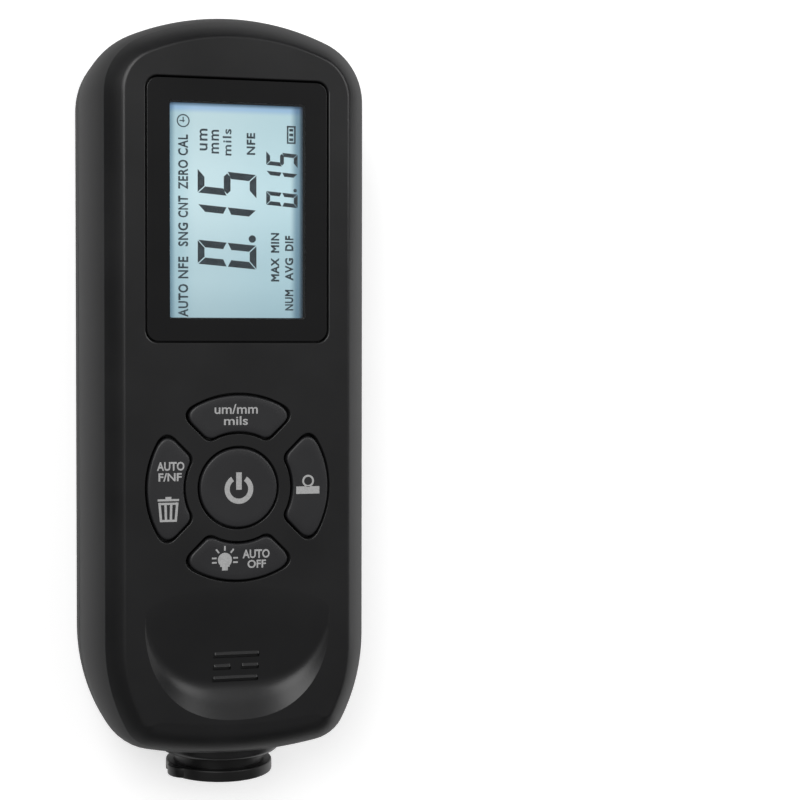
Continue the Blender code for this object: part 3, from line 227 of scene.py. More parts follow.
def bevel(bm: BMesh, edges: Sequence[BMEdge], radius: float, segments: int = 3) -> None:
    """Rounds edges.

    Args:
        bm: The mesh that holds them.
        edges: The edges to round.
        radius: How far from each edge the rounding starts.
        segments: The number of faces across the rounding.
    """
    bmesh.ops.bevel(
        bm,
        geom=edges,
        offset=radius,
        offset_type="OFFSET",
        affect="EDGES",
        segments=segments,
        profile=0.5,
        material=-1,
    )


def soft_box(
    low: Sequence[float], high: Sequence[float], corner: float, edge: float = 0.0, segments: int = 8
) -> BMesh:
    """Makes a box with round corners as seen from above, and a finely rounded rim.

    Args:
        low: The lowest corner.
        high: The highest corner.
        corner: The radius of the four upright edges.
        edge: The radius of the edges round the top and bottom, or 0 for sharp ones.
        segments: The number of faces round each corner.

    Returns:
        The box.
    """
    bm = box(low, high)
    tall = (high[2] - low[2]) / 2
    bevel(bm, [e for e in bm.edges if abs(e.verts[0].co.z - e.verts[1].co.z) > tall], corner, segments)
    if edge:
        bevel(bm, [e for e in bm.edges if abs(e.verts[0].co.z - e.verts[1].co.z) < tall], edge)
    return bm


def cylinder(radius: float, start: Vector, end: Vector, segments: int = 48, edge: float = 0.0) -> BMesh:
    """Makes a capped cylinder between two points.

    Args:
        radius: Its radius.
        start: The middle of one end.
        end: The middle of the other.
        segments: The number of faces round it.
        edge: The radius of its end edges, or 0 for sharp ones.

    Returns:
        The cylinder.
    """
    bm = bmesh.new()
    along = end - start
    turn = Vector((0, 0, 1)).rotation_difference(along).to_matrix().to_4x4()
    bmesh.ops.create_cone(
        bm,
        cap_ends=True,
        segments=segments,
        radius1=radius,
        radius2=radius,
        depth=along.length,
        matrix=Matrix.Translation((start + end) / 2) @ turn,
    )
    if edge:
        rims = [e for e in bm.edges if any(len(f.verts) > 4 for f in e.link_faces)]
        bevel(bm, rims, edge)
    return bm


def turned(profile: Sequence[tuple[float, float]], start_y: float, segments: int = 96) -> BMesh:
    """Spins a profile round the probe's axis.

    Args:
        profile: Pairs of radius and distance along Y, as one open line or, off the axis, a closed one.
        start_y: Where distance 0 lies.
        segments: The number of faces round it.

    Returns:
        The turned solid.
    """
    bm = bmesh.new()
    points = [Vector((radius, start_y + along, PROBE_Z)) for radius, along in profile]
    verts = [bm.verts.new(point) for point in points]
    for pair in zip(verts, verts[1:]):
        bm.edges.new(pair)
    if profile[0][0] > 0.0:
        bm.edges.new((verts[-1], verts[0]))
    bmesh.ops.spin(
        bm,
        geom=list(bm.verts) + list(bm.edges),
        cent=(0.0, 0.0, PROBE_Z),
        axis=(0.0, 1.0, 0.0),
        angle=2 * math.pi,
        steps=segments,
        use_merge=True,
        use_duplicate=False,
    )
    bmesh.ops.remove_doubles(bm, verts=bm.verts, dist=MERGE_DISTANCE)
    bmesh.ops.recalc_face_normals(bm, faces=bm.faces)
    return bm


def together(parts: Sequence[BMesh]) -> BMesh:
    """Puts several meshes in one, without joining their solids, and frees them.

    Args:
        parts: The meshes.

    Returns:
        The mesh that holds them all.
    """
    whole = bmesh.new()
    for part in parts:
        mesh = bpy.data.meshes.new("part")
        part.to_mesh(mesh)
        part.free()
        whole.from_mesh(mesh)
        bpy.data.meshes.remove(mesh)
    return whole


def carve(solid: BMesh, steps: Sequence[Carving]) -> BMesh:
    """Cuts solids out of a solid, or joins them to it, in order.

    Args:
        solid: The solid to start from. It is freed.
        steps: Each operation and its tool. The tools are freed.

    Returns:
        The carved solid.
    """
    helpers = []
    for shape in (solid, *[tool for _, tool in steps]):
        mesh = bpy.data.meshes.new("helper")
        shape.to_mesh(mesh)
        shape.free()
        helper = bpy.data.objects.new("helper", mesh)
        bpy.context.scene.collection.objects.link(helper)
        helpers.append(helper)
    carved = helpers[0]
    for (operation, _), helper in zip(steps, helpers[1:]):
        modifier = carved.modifiers.new(operation.name, "BOOLEAN")
        modifier.operation = operation.value
        modifier.solver = "EXACT"
        modifier.object = helper
    graph = bpy.context.evaluated_depsgraph_get()
    mesh = bpy.data.meshes.new_from_object(carved.evaluated_get(graph))
    result = bmesh.new()
    result.from_mesh(mesh)
    bpy.data.meshes.remove(mesh)
    for helper in helpers:
        used = helper.data
        bpy.data.objects.remove(helper)
        bpy.data.meshes.remove(used)
    return result


def add_piece(
    name: str,
    bm: BMesh,
    material: Material,
    body: Body,
    replaced: Sequence[str] = (),
    sharp_degrees: float = 32.0,
) -> Object:
    """Turns a mesh into a finished piece that rides on a CAD body.

    Args:
        name: The piece's name.
        bm: Its mesh, in place. It is freed.
        material: Its finish.
        body: The body that it moves with.
        replaced: The CAD nodes that it stands for.
        sharp_degrees: The turn between faces from which an edge looks sharp.

    Returns:
        The new object.
    """
    mesh = bpy.data.meshes.new(name)
    bm.to_mesh(mesh)
    bm.free()
    mesh.shade_smooth()
    mesh.set_sharp_from_angle(angle=math.radians(sharp_degrees))
    mesh.materials.append(material)
    piece = bpy.data.objects.new(name, mesh)
    bpy.context.scene.collection.objects.link(piece)
    even = piece.modifiers.new("even_flat_faces", "WEIGHTED_NORMAL")
    even.keep_sharp = True
    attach(piece, body.value)
    if replaced:
        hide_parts(*replaced)
    LOG.info("%s: %d faces on %s", name, len(mesh.polygons), body.value)
    return piece


# Flat print


def plate(low: tuple[float, float], high: tuple[float, float], turn: float = 0.0) -> BMesh:
    """Makes a flat bar of print, one unit thick, that is turned about its middle.

    Args:
        low: Its lower left corner.
        high: Its upper right corner.
        turn: How far it is turned, in radians.

    Returns:
        The bar, from Z 0 to 1.
    """
    size = (high[0] - low[0], high[1] - low[1], 1.0)
    centre = Vector(((low[0] + high[0]) / 2, (low[1] + high[1]) / 2, 0.5))
    place = Matrix.Translation(centre) @ Matrix.Rotation(turn, 4, "Z") @ Matrix.Diagonal((*size, 1.0))
    bm = bmesh.new()
    bmesh.ops.create_cube(bm, size=1.0, matrix=place)
    return bm


def disc(centre: tuple[float, float], radius: float, segments: int = 40) -> BMesh:
    """Makes a round dot of print, one unit thick.

    Args:
        centre: Its middle.
        radius: Its radius.
        segments: The number of faces round it.

    Returns:
        The dot, from Z 0 to 1.
    """
    return cylinder(radius, Vector((*centre, 0.0)), Vector((*centre, 1.0)), segments)


def band(
    centre: tuple[float, float],
    outer: float,
    inner: float,
    start: float = 0.0,
    sweep: float = 2 * math.pi,
    steps: int = 48,
) -> BMesh:
    """Makes a ring of print, or part of one, by spinning its section. It is one unit thick.

    Args:
        centre: The middle of the ring.
        outer: Its outer radius.
        inner: Its inner radius.
        start: The angle that it starts at, in radians from +X.
        sweep: The angle that it covers.
        steps: The number of faces along it.

    Returns:
        The ring, from Z 0 to 1.
    """
    bm = bmesh.new()
    cos, sin = math.cos(start), math.sin(start)
    corners = ((inner, 0.0), (outer, 0.0), (outer, 1.0), (inner, 1.0))
    verts = [bm.verts.new((centre[0] + r * cos, centre[1] + r * sin, z)) for r, z in corners]
    for first, second in zip(verts, verts[1:] + verts[:1]):
        bm.edges.new((first, second))
    whole = sweep > 2 * math.pi - 1e-6
    bmesh.ops.spin(
        bm,
        geom=list(bm.verts) + list(bm.edges),
        cent=(*centre, 0.0),
        axis=(0.0, 0.0, 1.0),
        angle=sweep,
        steps=steps,
        use_merge=whole,
        use_duplicate=False,
    )
    if not whole:
        bmesh.ops.holes_fill(bm, edges=bm.edges, sides=4)
    bmesh.ops.recalc_face_normals(bm, faces=bm.faces)
    return bm


def thicken(bm: BMesh, weight: float) -> None:
    """Moves the sides of flat print outward, with mitred corners.

    Args:
        bm: The print, a closed solid with upright sides.
        weight: How far they are moved.
    """
    moves = []
    for vert in bm.verts:
        normals = [face.normal for face in vert.link_faces if abs(face.normal.z) < 0.5]
        sides = {(round(normal.x, 2), round(normal.y, 2)) for normal in normals}
        out = Vector((sum(x for x, _ in sides), sum(y for _, y in sides), 0.0))
        mitre = len(sides) / max(out.length_squared, 1.0)
        moves.append((vert, out * (weight * mitre)))
    for vert, move in moves:
        vert.co += move


def lettering(
    words: str,
    centre: tuple[float, float],
    size: tuple[float, float],
    turn: float = 0.0,
    weight: float = 0.012,
    spacing: float = 1.0,
) -> BMesh:
    """Makes letters of print, one unit thick, fitted to a measured size.

    Args:
        words: The letters.
        centre: The middle of the letters.
        size: Their width and height, along and across the line that they stand on.
        turn: How far that line is turned from +X, in radians.
        weight: How much the strokes are thickened, as a share of the height of the type.
        spacing: How widely the letters are set, where 1 is as usual.

    Returns:
        The letters, from Z 0 to 1.
    """
    curve = bpy.data.curves.new("letters", "FONT")
    curve.body = words
    curve.space_character = spacing
    curve.extrude = 0.5
    curve.resolution_u = 3
    source = bpy.data.objects.new("letters", curve)
    bpy.context.scene.collection.objects.link(source)
    graph = bpy.context.evaluated_depsgraph_get()
    mesh = bpy.data.meshes.new_from_object(source.evaluated_get(graph))
    bm = bmesh.new()
    bm.from_mesh(mesh)
    bpy.data.objects.remove(source)
    bpy.data.curves.remove(curve)
    bpy.data.meshes.remove(mesh)
    bmesh.ops.remove_doubles(bm, verts=bm.verts, dist=MERGE_DISTANCE)
    bmesh.ops.recalc_face_normals(bm, faces=bm.faces)
    thicken(bm, weight)
    low = Vector([min(v.co[i] for v in bm.verts) for i in range(3)])
    high = Vector([max(v.co[i] for v in bm.verts) for i in range(3)])
    scale = Matrix.Diagonal((size[0] / (high.x - low.x), size[1] / (high.y - low.y), 1.0, 1.0))
    place = Matrix.Translation((*centre, 0.5)) @ Matrix.Rotation(turn, 4, "Z") @ scale
    bmesh.ops.transform(bm, matrix=place @ Matrix.Translation(-(low + high) / 2), verts=bm.verts)
    return bm


def fused(parts: Sequence[BMesh]) -> BMesh:
    """Joins overlapping pieces of print into one.

    Args:
        parts: The pieces.

    Returns:
        Their union.
    """
    return carve(parts[0], [join(part) for part in parts[1:]])


def printed(parts: Sequence[BMesh], origin: Vector, low_z: float, high_z: float) -> BMesh:
    """Lays pieces of print on a surface.

    Args:
        parts: The pieces, from Z 0 to 1, measured from origin.
        origin: The point that they are measured from.
        low_z: The height of their underside.
        high_z: The height of their top.

    Returns:
        The print, in place.
    """
    bm = together(parts)
    flatten = Matrix.Diagonal((1.0, 1.0, high_z - low_z, 1.0))
    place = Matrix.Translation((origin.x, origin.y, low_z)) @ flatten
    bmesh.ops.transform(bm, matrix=place, verts=bm.verts)
    return bm


# Finishes


def linear(hex_colour: str) -> tuple[float, float, float, float]:
    """Turns an sRGB hex colour into the linear one that shaders take.

    Args:
        hex_colour: The colour, such as "#2b2b2d".

    Returns:
        Its red, green, blue and alpha.
    """
    parts = [int(hex_colour[i : i + 2], 16) / 255 for i in (1, 3, 5)]
    return (*[p / 12.92 if p <= 0.04045 else ((p + 0.055) / 1.055) ** 2.4 for p in parts], 1.0)


def add_node(
    tree: NodeTree,
    kind: str,
    settings: dict | None = None,
    values: dict | None = None,
    links: dict | None = None,
) -> Node:
    """Adds a node with its settings and links.

    Args:
        tree: The tree that it goes in.
        kind: Its type.
        settings: Attributes of the node.
        values: Values of its inputs, by name or number.
        links: Outputs that its inputs are linked from, by name or number.

    Returns:
        The node.
    """
    node = tree.nodes.new(kind)
    for name, value in (settings or {}).items():
        setattr(node, name, value)
    for name, value in (values or {}).items():
        node.inputs[name].default_value = value
    for name, output in (links or {}).items():
        tree.links.new(output, node.inputs[name])
    return node


def new_material(name: str) -> tuple[Material, NodeTree, Node]:
    """Starts a material with its shader.

    Args:
        name: The material's name.

    Returns:
        The material, its node tree and its Principled BSDF.
    """
    material = bpy.data.materials.new(name)
    material.use_nodes = True
    tree = material.node_tree
    return material, tree, tree.nodes["Principled BSDF"]


def set_ramp(ramp: Node, stops: Sequence[tuple[float, str]]) -> None:
    """Sets the stops of a colour ramp.

    Args:
        ramp: The node.
        stops: Pairs of place and sRGB hex colour.
    """
    elements = ramp.color_ramp.elements
    while len(elements) < len(stops):
        elements.new(0.5)
    for element, (place, colour) in zip(elements, stops):
        element.position = place
        element.color = linear(colour)


def noise(tree: NodeTree, place: NodeSocket, size: float, detail: float, rough: float = 0.5) -> NodeSocket:
    """Adds cloudy noise.

    Args:
        tree: The node tree.
        place: The coordinates that it is drawn in.
        size: The size of its largest blotches.
        detail: The number of finer layers.
        rough: How strong the finer layers are.

    Returns:
        The noise, which lies mostly between 0.3 and 0.7.
    """
    values = {"Scale": 1.0 / size, "Detail": detail, "Roughness": rough}
    return add_node(tree, "ShaderNodeTexNoise", values=values, links={"Vector": place}).outputs["Fac"]


def spread(tree: NodeTree, value: NodeSocket, low: float, high: float) -> NodeSocket:
    """Stretches noise over a range.

    Args:
        tree: The node tree.
        value: The noise.
        low: The result where it is low.
        high: The result where it is high.

    Returns:
        The stretched value.
    """
    values = {"From Min": 0.3, "From Max": 0.7, "To Min": low, "To Max": high}
    return add_node(tree, "ShaderNodeMapRange", values=values, links={"Value": value}).outputs["Result"]


def set_relief(tree: NodeTree, shader: Node, form: NodeSocket, height: float) -> None:
    """Gives a shader fine relief.

    Args:
        tree: The node tree.
        shader: The shader.
        form: The form of the relief.
        height: How tall it is.
    """
    values = {"Strength": 1.0, "Distance": height}
    bump = add_node(tree, "ShaderNodeBump", values=values, links={"Height": form})
    tree.links.new(bump.outputs["Normal"], shader.inputs["Normal"])


@dataclass(frozen=True)
class MouldedPlastic:
    """Injection-moulded plastic or rubber from a textured tool.

    The spark-eroded tool leaves a fine grain, and the flow of the melt a faint cloudiness in the gloss.
    Upright sides may have a coarser, duller texture for grip.
    """

    name: str
    colour: str
    cloud_colour: str
    roughness: float
    grain: float = 0.30 * MM
    grain_height: float = 0.010 * MM
    cloud: float = 14.0 * MM
    gloss_change: float = 0.05
    ior: float = 1.53
    specular: float = 0.5
    side_roughness: float | None = None
    subsurface: float = 0.0

    def build(self) -> Material:
        """Returns the material."""
        material, tree, shader = new_material(self.name)
        shader.inputs["IOR"].default_value = self.ior
        shader.inputs["Specular IOR Level"].default_value = self.specular
        shader.inputs["Subsurface Weight"].default_value = self.subsurface
        place = add_node(tree, "ShaderNodeTexCoord").outputs["Object"]
        clouds = noise(tree, place, self.cloud, 3.0)
        ramp = add_node(tree, "ShaderNodeValToRGB", links={"Fac": clouds})
        set_ramp(ramp, ((0.35, self.colour), (0.65, self.cloud_colour)))
        half_change = self.gloss_change / 2
        gloss = spread(tree, clouds, self.roughness - half_change, self.roughness + half_change)
        if self.side_roughness is not None:
            facing = add_node(tree, "ShaderNodeNewGeometry").outputs["Normal"]
            up = add_node(tree, "ShaderNodeSeparateXYZ", links={"Vector": facing}).outputs["Z"]
            gloss = add_node(
                tree,
                "ShaderNodeMapRange",
                settings={"interpolation_type": "SMOOTHSTEP"},
                values={"From Min": 0.4, "From Max": 0.6, "To Min": self.side_roughness},
                links={"Value": up, "To Max": gloss},
            ).outputs["Result"]
        tree.links.new(ramp.outputs["Color"], shader.inputs["Base Color"])
        tree.links.new(gloss, shader.inputs["Roughness"])
        set_relief(tree, shader, noise(tree, place, self.grain, 2.0, 0.6), self.grain_height)
        return material


@dataclass(frozen=True)
class PlatedMetal:
    """Plated or drawn metal, with fine lines left by the drawing or rolling along one direction."""

    name: str
    colour: str
    dull_colour: str
    roughness: float
    line: float = 0.12 * MM
    stretch: tuple[float, float, float] = (1.0, 0.08, 1.0)
    line_height: float = 0.004 * MM

    def build(self) -> Material:
        """Returns the material."""
        material, tree, shader = new_material(self.name)
        shader.inputs["Metallic"].default_value = 1.0
        place = add_node(tree, "ShaderNodeTexCoord").outputs["Object"]
        drawn = add_node(tree, "ShaderNodeMapping", values={"Scale": self.stretch}, links={"Vector": place})
        lines = noise(tree, drawn.outputs["Vector"], self.line, 3.0)
        ramp = add_node(tree, "ShaderNodeValToRGB", links={"Fac": lines})
        set_ramp(ramp, ((0.35, self.dull_colour), (0.6, self.colour)))
        gloss = spread(tree, lines, self.roughness * 0.8, self.roughness * 1.25)
        tree.links.new(ramp.outputs["Color"], shader.inputs["Base Color"])
        tree.links.new(gloss, shader.inputs["Roughness"])
        set_relief(tree, shader, lines, self.line_height)
        return material


@dataclass(frozen=True)
class ScreenInk:
    """Screen-printed ink or a display segment: an even film with the faint dots of its mesh."""

    name: str
    colour: str
    thin_colour: str
    roughness: float = 0.5
    mesh: float = 0.25 * MM

    def build(self) -> Material:
        """Returns the material."""
        material, tree, shader = new_material(self.name)
        shader.inputs["Roughness"].default_value = self.roughness
        place = add_node(tree, "ShaderNodeTexCoord").outputs["Object"]
        scale = {"Scale": 1.0 / self.mesh}
        dots = add_node(tree, "ShaderNodeTexVoronoi", values=scale, links={"Vector": place})
        ramp = add_node(tree, "ShaderNodeValToRGB", links={"Fac": dots.outputs["Distance"]})
        set_ramp(ramp, ((0.2, self.colour), (0.8, self.thin_colour)))
        tree.links.new(ramp.outputs["Color"], shader.inputs["Base Color"])
        return material


@dataclass(frozen=True)
class ClearAcrylic:
    """Cast acrylic sheet with a hard coat that cuts its glare, polished on both sides."""

    name: str
    roughness: float = 0.02
    specular: float = 0.3
    ior: float = 1.49
    ripple: float = 9.0 * MM
    ripple_height: float = 0.002 * MM

    def build(self) -> Material:
        """Returns the material."""
        material, tree, shader = new_material(self.name)
        shader.inputs["Base Color"].default_value = (1.0, 1.0, 1.0, 1.0)
        shader.inputs["Roughness"].default_value = self.roughness
        shader.inputs["IOR"].default_value = self.ior
        shader.inputs["Transmission Weight"].default_value = 1.0
        shader.inputs["Specular IOR Level"].default_value = self.specular
        place = add_node(tree, "ShaderNodeTexCoord").outputs["Object"]
        set_relief(tree, shader, noise(tree, place, self.ripple, 1.0), self.ripple_height)
        return material


@dataclass(frozen=True)
class LitDisplay:
    """A backlit liquid crystal panel: pale blue light, dimmer at its edges, with a painted border shadow at
    the right.
    """

    name: str
    centre: Vector
    half_width: float
    half_length: float
    strength: float = 1.0
    rows: tuple[tuple[float, str], ...] = (
        (0.0, "#a4c1ca"),
        (0.2, "#b2cfd7"),
        (0.6, "#c9e4ea"),
        (0.95, "#bed9df"),
        (0.982, "#9dbfdd"),
        (1.0, "#4c6a82"),
    )
    # Shades across the panel from left to right; the dark right end is a painted shadow of the window border
    columns_with_painted_shadow: tuple[tuple[float, str], ...] = (
        (0.0, "#93aab8"),
        (0.05, "#e8f0f3"),
        (0.2, "#ffffff"),
        (0.90, "#f2f8fa"),
        (0.965, "#93a9b8"),
        (1.0, "#33424f"),
    )

    def build(self) -> Material:
        """Returns the material."""
        material, tree, shader = new_material(self.name)
        shader.inputs["Base Color"].default_value = linear("#20282b")
        shader.inputs["Roughness"].default_value = 0.25
        shader.inputs["Emission Strength"].default_value = self.strength
        place = add_node(tree, "ShaderNodeTexCoord").outputs["Object"]
        split = add_node(tree, "ShaderNodeSeparateXYZ", links={"Vector": place})
        shades = []
        sides = (
            ("Y", self.centre.y, self.half_length, self.rows),
            ("X", self.centre.x, self.half_width, self.columns_with_painted_shadow),
        )
        for axis, centre, half, stops in sides:
            share = add_node(
                tree,
                "ShaderNodeMapRange",
                values={"From Min": centre - half, "From Max": centre + half},
                links={"Value": split.outputs[axis]},
            )
            ramp = add_node(tree, "ShaderNodeValToRGB", links={"Fac": share.outputs["Result"]})
            ramp.color_ramp.interpolation = "EASE"
            set_ramp(ramp, stops)
            shades.append(ramp.outputs["Color"])
        light = add_node(
            tree,
            "ShaderNodeMix",
            settings={"data_type": "RGBA", "blend_type": "MULTIPLY"},
            values={0: 1.0},
            links={6: shades[0], 7: shades[1]},
        )
        tree.links.new(light.outputs[2], shader.inputs["Emission Color"])
        return material


@dataclass
class Finishes:
    """All the materials of the gauge, made once."""

    # Textured black ABS, as moulded: a satin face, and duller sides for grip
    housing: Material = field(
        default_factory=MouldedPlastic(
            "moulded_black_abs", "#131314", "#171718", 0.33, specular=0.38, side_roughness=0.72
        ).build
    )
    # Smoother black ABS from a finer tool, a shade lighter than the housing
    key: Material = field(
        default_factory=MouldedPlastic(
            "moulded_key_abs", "#1e1e20", "#222224", 0.42, 0.25 * MM, 0.006 * MM, ior=1.48
        ).build
    )
    # Turned-looking black acetal with a soft sheen; its colour is set darker still, as painted shade of the
    # shadow round the probe end
    probe: Material = field(
        default_factory=MouldedPlastic(
            "probe_acetal_painted_shade", "#0b0b0b", "#0e0e0e", 0.40, 0.25 * MM, 0.005 * MM, specular=0.3
        ).build
    )
    # Pale grey pad-printing ink on the keys: matt, a little uneven
    legend: Material = field(default_factory=ScreenInk("legend_ink", "#b2b2b2", "#a4a4a4", 0.6).build)
    # Black acrylic moulded round the clear pane: deep and glossy, from a polished tool, with dull walls
    border: Material = field(
        default_factory=MouldedPlastic(
            "black_acrylic",
            "#060607",
            "#080809",
            0.2,
            grain=0.5 * MM,
            grain_height=0.0006 * MM,
            specular=0.36,
            side_roughness=0.9,
        ).build
    )
    # Dark blue-grey liquid crystal segments
    segment: Material = field(default_factory=ScreenInk("display_segments", "#1d3440", "#213a46", 0.5).build)
    # Lighter, thinner strokes of the display's fixed words
    word: Material = field(default_factory=ScreenInk("display_words", "#27404c", "#2b4652", 0.5).build)
    # Clear acrylic of the window: polished, with a coat that cuts its glare
    window: Material = field(default_factory=ClearAcrylic("cast_acrylic").build)
    # White ABS of the display holder, sockets and plungers: matt and slightly warm
    white: Material = field(
        default_factory=MouldedPlastic("moulded_white_abs", "#e2e1dc", "#dad9d3", 0.5, subsurface=0.05).build
    )
    # Milky acrylic of the light guide
    guide: Material = field(
        default_factory=MouldedPlastic(
            "milky_light_guide", "#e6eff2", "#dce8ec", 0.3, grain_height=0.002 * MM, subsurface=0.2
        ).build
    )
    # Conductive silicone strip: matt brick red
    silicone: Material = field(
        default_factory=MouldedPlastic("cured_silicone", "#9a4436", "#8c3c30", 0.75, ior=1.41).build
    )
    # Solder mask over glass epoxy: glossy green, mottled by the copper below
    board: Material = field(
        default_factory=MouldedPlastic(
            "solder_mask", "#12492a", "#1b6138", 0.28, 0.9 * MM, 0.012 * MM, cloud=3.0 * MM
        ).build
    )
    # Transfer-moulded epoxy of chips and switches: matt near-black
    epoxy: Material = field(
        default_factory=MouldedPlastic(
            "component_epoxy", "#161616", "#1d1d1d", 0.55, grain=0.12 * MM, cloud=4.0 * MM
        ).build
    )
    # PVC sleeve of the probe's lead
    lead: Material = field(
        default_factory=MouldedPlastic(
            "lead_pvc", "#7d1f1c", "#8a2522", 0.42, grain=0.6 * MM, cloud=6.0 * MM
        ).build
    )
    # Shrink sleeve of a plain cell: glossy dark grey
    sleeve: Material = field(
        default_factory=MouldedPlastic(
            "shrink_sleeve", "#3a3d42", "#44484e", 0.24, 1.2 * MM, 0.006 * MM
        ).build
    )
    # Zinc-plated steel of screws and springs: bright, with faint lines
    steel: Material = field(default_factory=PlatedMetal("zinc_plated_steel", "#c9ccd0", "#a4a7ab", 0.3).build)
    # Nickel-plated strip: slightly warm
    nickel: Material = field(
        default_factory=PlatedMetal(
            "nickel_plated_strip", "#cfc8ba", "#b0a999", 0.28, stretch=(0.08, 1.0, 1.0)
        ).build
    )
    # Enamelled copper wire, whose turns show as lines across the axis
    copper: Material = field(
        default_factory=PlatedMetal(
            "enamelled_copper", "#d98555", "#a45a34", 0.32, line=0.2 * MM, stretch=(0.05, 1.0, 0.05)
        ).build
    )


# Housing


@dataclass(frozen=True)
class Arc:
    """A round stretch of an outline."""

    centre: Vector
    radius: float
    start: float
    end: float

    @property
    def length(self) -> float:
        """The length of the stretch."""
        return abs(self.end - self.start) * self.radius

    def station(self, share: float) -> tuple[Vector, Vector]:
        """Returns a point of the stretch.

        Args:
            share: How far along it the point lies, from 0 to 1.

        Returns:
            The point, and the direction that points outward there.
        """
        angle = mix(self.start, self.end, share)
        out = Vector((math.cos(angle), math.sin(angle)))
        return self.centre + out * self.radius, out


@dataclass(frozen=True)
class Side:
    """The straight stretch of the outline on the right."""

    start: Vector
    end: Vector

    @property
    def length(self) -> float:
        """The length of the stretch."""
        return (self.end - self.start).length

    def station(self, share: float) -> tuple[Vector, Vector]:
        """Returns a point of the stretch and the direction outward there, for a share from 0 to 1."""
        return self.start.lerp(self.end, share), Vector((1.0, 0.0))


@dataclass(frozen=True)
class Outline:
    """The outline of the housing at its widest, as arcs that meet without a corner."""

    arch_radius: float = 43.2 * MM
    top_corner: float = 12.2 * MM
    lower_side_radius: float = 33.2 * MM
    lower_corner: float = 8.2 * MM
    bottom_radius: float = 77.2 * MM
    taper_above_bottom: float = 21.1 * MM
    boss_proud: float = 0.3 * MM

    @property
    def bottom_y(self) -> float:
        """Where the outline crosses the middle line at the probe end."""
        return BOSS_END_Y + self.boss_proud

    def foot_centre(self, side: Vector, bottom: Vector) -> Vector:
        """Finds the centre of the lower right corner, which touches the side and the bottom arcs.

        Args:
            side: The centre of the arc of the lower side.
            bottom: The centre of the arc across the bottom.

        Returns:
            The centre.
        """
        to_side = self.lower_side_radius - self.lower_corner
        to_bottom = self.bottom_radius - self.lower_corner
        between = bottom - side
        along = (to_side**2 - to_bottom**2 + between.length**2) / (2 * between.length)
        across = math.sqrt(to_side**2 - along**2)
        direction = between.normalized()
        normal = Vector((direction.y, -direction.x))
        found = [side + direction * along + normal * across * way for way in (1, -1)]
        return max(found, key=lambda point: point.x - point.y)

    def runs(self) -> list[Arc | Side]:
        """Returns the stretches of the right half, from the top to the bottom."""
        arch = Vector((0.0, TOP_Y - self.arch_radius))
        corner_x = HALF_WIDTH - self.top_corner
        reach = self.arch_radius - self.top_corner
        corner = Vector((corner_x, arch.y + math.sqrt(reach**2 - corner_x**2)))
        side = Vector((HALF_WIDTH - self.lower_side_radius, self.bottom_y + self.taper_above_bottom))
        bottom = Vector((0.0, self.bottom_y + self.bottom_radius))
        foot = self.foot_centre(side, bottom)
        top_turn = math.atan2(corner.y - arch.y, corner.x)
        side_turn = math.atan2(foot.y - side.y, foot.x - side.x)
        bottom_turn = math.atan2(foot.y - bottom.y, foot.x - bottom.x)
        return [
            Arc(arch, self.arch_radius, math.pi / 2, top_turn),
            Arc(corner, self.top_corner, top_turn, 0.0),
            Side(Vector((HALF_WIDTH, corner.y)), Vector((HALF_WIDTH, side.y))),
            Arc(side, self.lower_side_radius, 0.0, side_turn),
            Arc(foot, self.lower_corner, side_turn, bottom_turn),
            Arc(bottom, self.bottom_radius, bottom_turn, -math.pi / 2),
        ]

    def stations(self, half_count: int) -> list[tuple[Vector, Vector]]:
        """Returns points spread evenly round the outline, clockwise from the top.

        Args:
            half_count: The number of spaces in each half.

        Returns:
            Each point and the direction that points outward there.
        """
        runs = self.runs()
        total = sum(run.length for run in runs)
        half = []
        for index in range(half_count + 1):
            distance = total * index / half_count
            for run in runs:
                if distance <= run.length or run is runs[-1]:
                    half.append(run.station(min(distance / run.length, 1.0)))
                    break
                distance -= run.length
        left = [(Vector((-base.x, base.y)), Vector((-out.x, out.y))) for base, out in half[-2:0:-1]]
        return half + left


